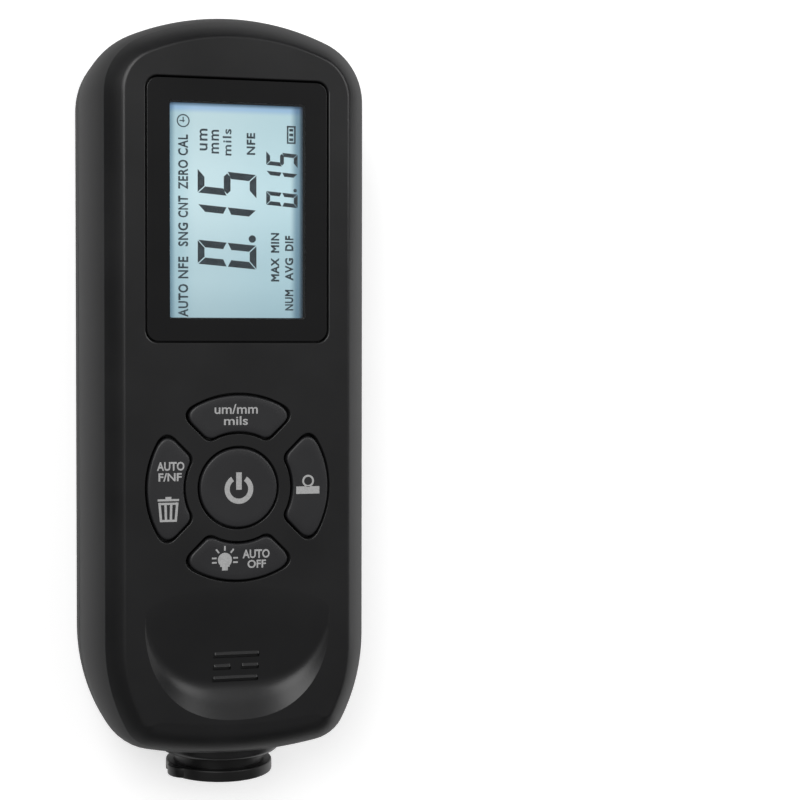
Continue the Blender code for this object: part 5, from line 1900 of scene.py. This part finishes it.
@dataclass(frozen=True)
class Digits:
    """A row of seven-segment digits that reads toward +Y, with a point after the first."""

    middle_x: float
    places: tuple[tuple[str, float], ...]
    width: float
    height: float
    stroke: float
    slant: float
    point: tuple[float, float]
    point_radius: float

    def stroke_part(
        self,
        centre: tuple[float, float],
        start: Vector,
        end: Vector,
        inward: Vector,
        pulls: tuple[float, float],
    ) -> BMesh:
        """Makes one stroke of a digit, longer on one side than on the other.

        Args:
            centre: The middle of the digit.
            start: Where the longer side starts, in the upright digit.
            end: Where it ends.
            inward: The stroke's thickness and direction, away from the longer side.
            pulls: How far the shorter side starts and ends short of the longer one.

        Returns:
            The stroke, from Z 0 to 1.
        """
        along = (end - start).normalized()
        space = self.stroke * 0.1
        bm = bmesh.new()
        bmesh.ops.create_cube(bm, size=1.0)
        for vert in bm.verts:
            inner = vert.co.y > 0
            if vert.co.x < 0:
                place = start + along * (space + (pulls[0] if inner else 0.0))
            else:
                place = end - along * (space + (pulls[1] if inner else 0.0))
            if inner:
                place = place + inward
            vert.co = (centre[0] - place.y, centre[1] + place.x + self.slant * place.y, vert.co.z + 0.5)
        bmesh.ops.recalc_face_normals(bm, faces=bm.faces)
        return bm

    def segment(self, centre: tuple[float, float], name: str) -> list[BMesh]:
        """Makes one segment, with its ends mitred to meet its neighbours.

        Args:
            centre: The middle of the digit.
            name: The segment's letter, from a at the top, clockwise, to f, and g across the middle.

        Returns:
            The strokes that it is made of.
        """
        w, h, thick = self.width / 2, self.height / 2, self.stroke
        left, right, up, down = Vector((-1, 0)), Vector((1, 0)), Vector((0, 1)), Vector((0, -1))
        outer = {
            "a": (Vector((-w, h)), Vector((w, h)), down, (thick, thick)),
            "b": (Vector((w, h)), Vector((w, 0)), left, (thick, thick / 2)),
            "c": (Vector((w, 0)), Vector((w, -h)), left, (thick / 2, thick)),
            "d": (Vector((-w, -h)), Vector((w, -h)), up, (thick, thick)),
            "e": (Vector((-w, 0)), Vector((-w, -h)), right, (thick / 2, thick)),
            "f": (Vector((-w, h)), Vector((-w, 0)), right, (thick, thick / 2)),
        }
        if name in outer:
            start, end, inward, pulls = outer[name]
            return [self.stroke_part(centre, start, end, inward * thick, pulls)]
        tuck = thick * 0.15
        start, end = Vector((-w + tuck, 0)), Vector((w - tuck, 0))
        half = thick / 2
        return [self.stroke_part(centre, start, end, way * half, (half, half)) for way in (up, down)]

    def parts(self) -> list[BMesh]:
        """Returns all the segments and the point, measured from the middle of the display."""
        made = [disc(self.point, self.point_radius, 24)]
        for digit, y in self.places:
            for name in SEGMENTS_OF[digit]:
                made += self.segment((self.middle_x, y), name)
        return made


@dataclass
class Display:
    """The window, its black border, and the lit display with its digits and words."""

    view_half_width: float = 11.4 * MM
    view_half_length: float = 17.78 * MM
    window_corner: float = 1.9 * MM
    window_edge: float = 0.12 * MM
    view_corner: float = 0.25 * MM
    wall_lean: float = 0.18
    pane_drop: float = 0.04 * MM
    film: float = 0.06 * MM
    film_gap: float = 0.02 * MM
    bond: float = 0.02 * MM
    # The letters are spaced wider than usual, and the words a little shorter than their listed lengths
    word_spacing: float = 1.12
    word_length_share: float = 0.94
    big: Digits = Digits(
        middle_x=-1.63 * MM,
        places=(("0", -7.23 * MM), ("1", -1.34 * MM), ("5", 4.59 * MM)),
        width=4.0 * MM,
        height=10.06 * MM,
        stroke=1.15 * MM,
        slant=0.085,
        point=(2.69 * MM, -4.55 * MM),
        point_radius=0.62 * MM,
    )
    small: Digits = Digits(
        middle_x=7.84 * MM,
        places=(("0", 2.16 * MM), ("1", 5.55 * MM), ("5", 8.86 * MM)),
        width=2.3 * MM,
        height=5.46 * MM,
        stroke=0.66 * MM,
        slant=0.085,
        point=(10.15 * MM, 3.72 * MM),
        point_radius=0.3 * MM,
    )
    # Each word with its middle and its length and height in millimetres, and the weight of its strokes
    words: tuple[tuple[str, float, float, float, float, float], ...] = (
        ("AUTO", -9.13, -14.93, 5.81, 1.70, 0.026),
        ("NFE", -9.13, -9.46, 3.83, 1.70, 0.026),
        ("SNG", -9.13, -3.99, 4.16, 1.70, 0.028),
        ("CNT", -9.13, 0.64, 3.84, 1.70, 0.028),
        ("ZERO", -9.13, 5.95, 5.17, 1.70, 0.026),
        ("CAL", -9.13, 10.83, 3.69, 1.70, 0.026),
        ("um", -5.64, 11.82, 3.85, 1.36, 0.014),
        ("mm", -3.67, 11.53, 4.18, 1.28, 0.014),
        ("mils", -1.63, 11.50, 4.70, 1.50, 0.014),
        ("NFE", 2.46, 11.34, 3.87, 1.45, 0.034),
        ("MAX", 6.64, -9.66, 4.20, 1.42, 0.038),
        ("MIN", 6.64, -5.14, 3.53, 1.42, 0.038),
        ("NUM", 9.11, -14.76, 3.70, 1.45, 0.034),
        ("AVG", 9.11, -9.56, 4.04, 1.45, 0.036),
        ("DIF", 9.11, -5.20, 2.70, 1.45, 0.038),
    )

    def opening(self, low_z: float, high_z: float, grow: float) -> BMesh:
        """Returns the space of the opening in the window's border, whose walls lean outward.

        Args:
            low_z: The height at which it starts.
            high_z: The height at which it ends.
            grow: How much wider it is than the opening all round.

        Returns:
            The space, as a solid.
        """
        wide, long = self.view_half_width + grow, self.view_half_length + grow
        low, high = (-wide, WINDOW_Y - long, low_z), (wide, WINDOW_Y + long, high_z)
        space = soft_box(low, high, self.view_corner)
        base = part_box("display_window")[0].z
        for vert in space.verts:
            out = (vert.co.z - base) * self.wall_lean
            vert.co.x += out * math.copysign(1.0, vert.co.x)
            vert.co.y += out * math.copysign(1.0, vert.co.y - WINDOW_Y)
        return space

    def window(self) -> BMesh:
        """Returns the clear pane, which is moulded into the border and lies a little below its front."""
        low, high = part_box("display_window")
        return self.opening(low.z, high.z - self.pane_drop, self.bond)

    def border(self) -> BMesh:
        """Returns the black border, open over the display."""
        low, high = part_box("display_window")
        solid = soft_box(low, high, self.window_corner, self.window_edge)
        return carve(solid, [cut(self.opening(low.z - GAP, high.z + GAP, 0.0))])

    def clock(self) -> list[BMesh]:
        """Returns the clock sign: a thin ring with two hands."""
        x, y = -9.1 * MM, 14.85 * MM
        hands = [
            plate((x - 0.09 * MM, y - 0.25 * MM), (x + 0.09 * MM, y + 0.62 * MM)),
            plate((x - 0.62 * MM, y - 0.09 * MM), (x + 0.25 * MM, y + 0.09 * MM)),
        ]
        return [band((x, y), 1.09 * MM, 0.89 * MM), fused(hands)]

    def battery(self) -> list[BMesh]:
        """Returns the sign of a full battery: an outline with three bars and a nub."""
        x, y = 9.46 * MM, 13.05 * MM
        half_x, half_y, line = 0.76 * MM, 1.5 * MM, 0.26 * MM
        parts = [
            plate((x - half_x, y - half_y), (x - half_x + line, y + half_y)),
            plate((x + half_x - line, y - half_y), (x + half_x, y + half_y)),
            plate((x - half_x, y - half_y), (x + half_x, y - half_y + line)),
            plate((x - half_x, y + half_y - line), (x + half_x, y + half_y)),
            plate((x - half_x / 2, y + half_y - line), (x + half_x / 2, y + half_y + 0.28 * MM)),
        ]
        bars = []
        for row in (-1, 0, 1):
            place = y + row * 0.8 * MM
            bars.append(plate((x - 0.34 * MM, place - 0.22 * MM), (x + 0.34 * MM, place + 0.22 * MM)))
        return [fused(parts), *bars]

    def build(self, finishes: Finishes) -> None:
        """Models the display's pieces and dresses them.

        Args:
            finishes: The materials.
        """
        add_piece("clear_window", self.window(), finishes.window, Body.HOUSING, ["display_window"])
        add_piece("window_border", self.border(), finishes.border, Body.HOUSING)
        panel = middle("lcd_panel")
        lit = LitDisplay("lit_display", panel, self.view_half_width, self.view_half_length).build()
        dress(["lcd_panel"], lit)
        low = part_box("lcd_panel")[1].z + self.film_gap
        digits = self.big.parts() + self.small.parts()
        segments = printed(digits, panel, low, low + self.film)
        add_piece("display_digits", segments, finishes.segment, Body.HOUSING)
        words = []
        for text, x, y, length, tall, weight in self.words:
            size = (length * self.word_length_share * MM, tall * MM)
            words.append(lettering(text, (x * MM, y * MM), size, math.pi / 2, weight, self.word_spacing))
        marks = printed(words + self.clock() + self.battery(), panel, low, low + self.film)
        add_piece("display_words", marks, finishes.word, Body.HOUSING)


# Probe


@dataclass
class Probe:
    """The collar at the lower end and the sprung head in it."""

    neck_radius: float = 8.0 * MM
    flange_radius: float = 9.4 * MM
    flange_thick: float = 2.0 * MM
    lobe_radius: float = 3.3 * MM
    lobe_offset: float = 6.9 * MM
    lobe_degrees: float = 158.0
    vee_depth: float = 1.1 * MM
    vee_half_flat: float = 0.08 * MM
    edge: float = 0.3 * MM
    bore: float = 6.9 * MM
    stop_bore: float = 5.5 * MM
    stop_thick: float = 1.2 * MM
    head_step: float = 1.1 * MM
    tail_radius: float = 1.6 * MM
    ring_radius: float = 8.9 * MM
    ring_thick: float = 1.2 * MM
    boss_length: float = 4.4 * MM
    back_wall: float = 1.5 * MM
    head_radius: float = 6.5 * MM
    head_thick: float = 2.2 * MM
    head_neck: float = 5.1 * MM
    core_radius: float = 4.0 * MM
    groove: float = 0.35 * MM
    dome_radius: float = 1.5 * MM
    dome_proud: float = 0.3 * MM
    wire_radius: float = 0.3 * MM
    spring_turns: int = 3
    travel: float = 1.5 * MM
    turn_steps: int = 40
    wire_sides: int = 12

    def rim(self, radius: float, along: float, inward: int) -> list[tuple[float, float]]:
        """Returns a rounded outer edge of a turned profile.

        Args:
            radius: The radius of the piece there.
            along: Where the flat face beside the edge lies.
            inward: 1 if the piece lies at greater distances than the face, or -1.

        Returns:
            The points from the cylinder to the face.
        """
        edge = self.edge
        return [(radius - edge * out, along + inward * edge * far) for out, far in quarter_round(4)]

    def collar(self) -> BMesh:
        """Returns the collar: a flange with two wings and a vee across it, on a long sleeve."""
        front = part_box("probe_collar")[0].y
        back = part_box("probe_collar")[1].y - front
        ring_start = BOSS_END_Y + self.boss_length + GAP - front
        profile = [
            (0.0, back),
            (self.neck_radius, back),
            (self.neck_radius, ring_start + self.ring_thick),
            (self.ring_radius, ring_start + self.ring_thick),
            (self.ring_radius, ring_start),
            (self.neck_radius, ring_start),
            (self.neck_radius, self.flange_thick),
        ]
        profile += self.rim(self.flange_radius, self.flange_thick, -1)[::-1]
        profile += self.rim(self.flange_radius, 0.0, 1)
        profile.append((0.0, 0.0))
        steps = []
        for degrees in (self.lobe_degrees, self.lobe_degrees + 180.0):
            angle = math.radians(degrees)
            x = self.lobe_offset * math.cos(angle)
            z = PROBE_Z + self.lobe_offset * math.sin(angle)
            start = Vector((x, front + self.edge / 3, z))
            end = Vector((x, front + self.flange_thick - self.edge / 3, z))
            steps.append(join(cylinder(self.lobe_radius, start, end, 64, self.edge * 0.8)))
        reach = self.flange_radius + self.lobe_radius
        deep, wide, flat = front + self.vee_depth, self.vee_depth + GAP, self.vee_half_flat
        corners = ((front - GAP, -wide), (front - GAP, wide), (deep, flat), (deep, -flat))
        rings = [[Vector((x, y, PROBE_Z + z)) for y, z in corners] for x in (-reach, reach)]
        steps.append(cut(loft(rings)))
        mouth = self.head_step / 2
        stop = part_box("probe_retainer")[0].y - GAP - self.stop_thick - front
        inner_back = back - self.back_wall
        hole = self.tail_radius + GAP
        inside = (
            (0.0, back + GAP),
            (hole, back + GAP),
            (hole, inner_back),
            (self.bore, inner_back),
            (self.bore, stop + self.stop_thick),
            (self.stop_bore, stop + self.stop_thick),
            (self.stop_bore, stop),
            (self.bore, stop),
            (self.bore, mouth),
            (self.bore + mouth * ARRIS, mouth * ARRIS),
            (self.bore + mouth, 0.0),
            (self.bore + mouth, -GAP),
            (0.0, -GAP),
        )
        steps.append(cut(turned(inside, front)))
        return carve(turned(profile, front), steps)

    def head(self) -> BMesh:
        """Returns the sensor head: a stepped face with a groove and a small dome, on its core."""
        tip, tail_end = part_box("probe_head")[0].y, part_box("probe_head")[1].y - TIP_Y
        face = self.dome_proud
        neck_start = face + self.head_thick
        core_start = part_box("probe_retainer")[0].y - GAP - tip
        core_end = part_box("probe_coil")[1].y - tip
        step = self.head_radius - self.head_step
        groove = self.groove
        profile = [
            (0.0, tail_end),
            (self.tail_radius, tail_end),
            (self.tail_radius, core_end),
            (self.core_radius, core_end),
            (self.core_radius, core_start),
            (self.head_neck, core_start),
            (self.head_neck, neck_start),
            (self.head_radius, neck_start),
            *self.rim(self.head_radius, face, 1),
            (step + groove, face),
            (step + groove * 0.85, face + groove),
            (step + groove * 0.15, face + groove),
            (step - groove * 0.1, face + groove * 0.2),
            (step - groove * 0.5, face),
            (self.dome_radius + groove, face),
            (self.dome_radius + groove * 0.4, face + groove * 0.3),
        ]
        for degrees in range(0, 90, 12):
            angle = math.radians(degrees)
            profile.append((self.dome_radius * math.cos(angle), face - self.dome_proud * math.sin(angle)))
        profile.append((0.0, 0.0))
        return turned(profile, tip)

    def spring(self) -> BMesh:
        """Returns the return spring: round wire in a helix along Y, whose end half turns lie flat."""
        low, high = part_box("probe_spring")
        radius = (high.x - low.x) / 2 - self.wire_radius
        pitch = (high.y - low.y - 2 * self.wire_radius) / self.spring_turns
        rings = []
        for step in range((self.spring_turns + 1) * self.turn_steps + 1):
            turn = step / self.turn_steps
            climb = min(max(turn - 0.5, 0.0), self.spring_turns)
            cos, sin = math.cos(2 * math.pi * turn), math.sin(2 * math.pi * turn)
            out = Vector((cos, 0.0, sin))
            slope = pitch if 0.0 < climb < self.spring_turns else 0.0
            around = 2 * math.pi * radius
            up = out.cross(Vector((-sin * around, slope, cos * around))).normalized()
            centre = Vector((0.0, low.y + self.wire_radius + climb * pitch, PROBE_Z)) + out * radius
            ring = []
            for side in range(self.wire_sides):
                angle = 2 * math.pi * side / self.wire_sides
                ring.append(centre + (out * math.cos(angle) + up * math.sin(angle)) * self.wire_radius)
            rings.append(ring)
        return loft(rings)

    def build(self, finishes: Finishes) -> None:
        """Models the probe's pieces and dresses them.

        Args:
            finishes: The materials.
        """
        add_piece("winged_collar", self.collar(), finishes.probe, Body.HOUSING, ["probe_collar"])
        add_piece("sensor_head", self.head(), finishes.probe, Body.SENSOR, ["probe_head"])
        coil, replaced = self.spring(), ["probe_spring"]
        spring = add_piece("return_spring", coil, finishes.steel, Body.HOUSING, replaced)
        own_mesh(spring)


# Inner pieces


def dress(nodes: Sequence[str], material: Material) -> None:
    """Gives carried-over CAD nodes a finish.

    Args:
        nodes: The names of the nodes.
        material: Their finish.
    """
    for name in nodes:
        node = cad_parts[name]
        if not node.material_slots:
            node.data.materials.append(material)
        for slot in node.material_slots:
            slot.material = material
        LOG.info("%s: dressed in %s", name, material.name)


@dataclass
class Inside:
    """The pieces inside the housing, which keep their CAD shape."""

    switches: tuple[str, ...] = ("power", "units", "mode", "light", "zero")

    def build(self, finishes: Finishes) -> None:
        """Dresses the inner pieces.

        Args:
            finishes: The materials.
        """
        bodies = [f"{name}_switch" for name in self.switches]
        plungers = [f"{name}_switch_plunger" for name in self.switches]
        dress([*bodies, "microcontroller", "buzzer"], finishes.epoxy)
        dress([*plungers, "lcd_frame", "probe_socket"], finishes.white)
        dress(["lcd_backlight"], finishes.guide)
        dress(["lcd_connector"], finishes.silicone)
        dress(["circuit_board"], finishes.board)
        dress(["probe_lead"], finishes.lead)
        dress(["battery_cell_left", "battery_cell_right"], finishes.sleeve)
        dress(["battery_spring_left", "battery_spring_right", "probe_retainer"], finishes.steel)
        dress(["contact_negative", "contact_positive", "contact_bridge"], finishes.nickel)
        dress(["probe_coil"], finishes.copper)


# Studio


@dataclass(frozen=True)
class SoftLight:
    """A square area light that faces the gauge."""

    name: str
    place: tuple[float, float, float]
    size: float
    power: float

    def build(self, target: Vector) -> None:
        """Adds the light.

        Args:
            target: The point that it faces.
        """
        data = bpy.data.lights.new(self.name, "AREA")
        data.shape = "SQUARE"
        data.size = self.size
        data.energy = self.power
        light = bpy.data.objects.new(self.name, data)
        light.location = self.place
        light.rotation_euler = (target - Vector(self.place)).to_track_quat("-Z", "Y").to_euler()
        bpy.context.scene.collection.objects.link(light)


@dataclass
class Studio:
    """A white floor, a soft sky, soft lights and the camera."""

    camera_from_keys: tuple[float, float, float] = (-57.6 * MM, 22.0 * MM, 242.0 * MM)
    yaw: float = math.radians(12.60)
    pitch: float = math.radians(1.30)
    roll: float = math.radians(0.06)
    lens: float = 67.05
    shift_x: float = 0.2275
    shift_y: float = -0.0125
    floor_size: float = 6.0
    floor_drop: float = 0.05 * MM
    floor_glow: float = 0.52
    # Shades of the sky from the horizon to straight above
    sky_levels: tuple[tuple[float, str], ...] = (
        (0.0, "#2a2a2a"),
        (0.40, "#363636"),
        (0.58, "#c8c8c8"),
        (0.72, "#cccccc"),
        (0.88, "#b0b0b0"),
        (1.0, "#a8a8a8"),
    )
    low_sky_share: float = 0.5
    lights: tuple[SoftLight, ...] = (
        SoftLight("left_softbox", (-0.42, 0.46, 0.80), 0.66, 5.8),
        SoftLight("right_softbox", (0.64, 0.40, 0.70), 0.50, 2.4),
        SoftLight("low_softbox", (0.80, -0.06, 0.16), 0.36, 0.5),
    )

    def floor(self) -> None:
        """Adds the floor: white to the camera, and shaded by the gauge."""
        bm = bmesh.new()
        bmesh.ops.create_grid(bm, x_segments=1, y_segments=1, size=self.floor_size / 2)
        mesh = bpy.data.meshes.new("floor")
        bm.to_mesh(mesh)
        bm.free()
        mesh.transform(Matrix.Translation((0.0, 0.0, -self.floor_drop)))
        material, tree, shader = new_material("white_paper")
        shader.inputs["Base Color"].default_value = linear("#e6e6e6")
        shader.inputs["Roughness"].default_value = 0.9
        shader.inputs["Specular IOR Level"].default_value = 0.0
        seen = add_node(
            tree,
            "ShaderNodeMath",
            settings={"operation": "MULTIPLY"},
            values={1: self.floor_glow},
            links={0: self.shown(tree, True)},
        )
        glow = add_node(tree, "ShaderNodeEmission", links={"Strength": seen.outputs["Value"]})
        parts = {0: shader.outputs["BSDF"], 1: glow.outputs["Emission"]}
        both = add_node(tree, "ShaderNodeAddShader", links=parts)
        tree.links.new(both.outputs["Shader"], tree.nodes["Material Output"].inputs["Surface"])
        mesh.materials.append(material)
        plane = bpy.data.objects.new("floor", mesh)
        bpy.context.scene.collection.objects.link(plane)

    def shown(self, tree: NodeTree, reflected: bool) -> NodeSocket:
        """Adds the test of whether the camera sees a surface.

        Args:
            tree: The tree that the nodes go in.
            reflected: Whether it also counts if seen in a gloss or through glass.

        Returns:
            The output that is 1 where it does.
        """
        path = add_node(tree, "ShaderNodeLightPath").outputs
        output = path["Is Camera Ray"]
        for name in ("Is Glossy Ray", "Is Transmission Ray") if reflected else ():
            links = {0: output, 1: path[name]}
            output = add_node(tree, "ShaderNodeMath", {"operation": "MAXIMUM"}, links=links).outputs["Value"]
        return output

    def sky(self) -> None:
        """Adds the sky: a bright ring of diffusers between a dark horizon and a dim ceiling.

        The camera sees white there, but the plastic mirrors the sky's own shades.
        """
        world = bpy.data.worlds.new("studio")
        bpy.context.scene.world = world
        world.use_nodes = True
        tree = world.node_tree
        place = add_node(tree, "ShaderNodeTexCoord").outputs["Generated"]
        split = add_node(tree, "ShaderNodeSeparateXYZ", links={"Vector": place})
        shade = add_node(tree, "ShaderNodeValToRGB", links={"Fac": split.outputs["Z"]})
        set_ramp(shade, self.sky_levels)
        near = add_node(
            tree,
            "ShaderNodeMapRange",
            settings={"interpolation_type": "SMOOTHSTEP"},
            values={"From Min": -0.45, "From Max": 0.25, "To Min": self.low_sky_share, "To Max": 1.0},
            links={"Value": split.outputs["Y"]},
        )
        strength = add_node(
            tree,
            "ShaderNodeMath",
            settings={"operation": "MAXIMUM"},
            links={0: near.outputs["Result"], 1: self.shown(tree, False)},
        )
        colour = add_node(
            tree,
            "ShaderNodeMix",
            settings={"data_type": "RGBA"},
            values={7: (1.0, 1.0, 1.0, 1.0)},
            links={0: self.shown(tree, False), 6: shade.outputs["Color"]},
        )
        background = tree.nodes["Background"]
        tree.links.new(colour.outputs[2], background.inputs["Color"])
        tree.links.new(strength.outputs["Value"], background.inputs["Strength"])

    def camera(self) -> None:
        """Adds the camera at the photograph's viewing angle."""
        data = bpy.data.cameras.new("camera")
        data.lens = self.lens
        data.sensor_width = 36.0
        data.shift_x = self.shift_x
        data.shift_y = self.shift_y
        data.clip_start = 0.01
        camera = bpy.data.objects.new("camera", data)
        turn = Matrix.Rotation(self.roll, 3, "Z") @ Matrix.Rotation(self.pitch, 3, "X")
        turn = turn @ Matrix.Rotation(self.yaw, 3, "Y")
        place = Vector((0.0, KEYS_Y, FACE_Z)) + Vector(self.camera_from_keys)
        camera.matrix_world = Matrix.Translation(place) @ turn.transposed().to_4x4()
        bpy.context.scene.collection.objects.link(camera)
        bpy.context.scene.camera = camera

    def build(self) -> None:
        """Adds everything round the gauge."""
        bpy.context.scene.view_settings.view_transform = "Standard"
        self.camera()
        self.floor()
        self.sky()
        for light in self.lights:
            light.build(Vector((0.0, 0.0, FACE_Z / 2)))


def main() -> None:
    """Builds the gauge and the studio round it, in order."""
    logging.basicConfig(level=logging.INFO, format="%(name)s %(message)s")
    Studio().build()
    finishes = Finishes()
    keypad = Keypad()
    Housing().build(finishes, keypad)
    keypad.build(finishes)
    Display().build(finishes)
    Probe().build(finishes)
    Inside().build(finishes)


if __name__ == "__main__":
    main()
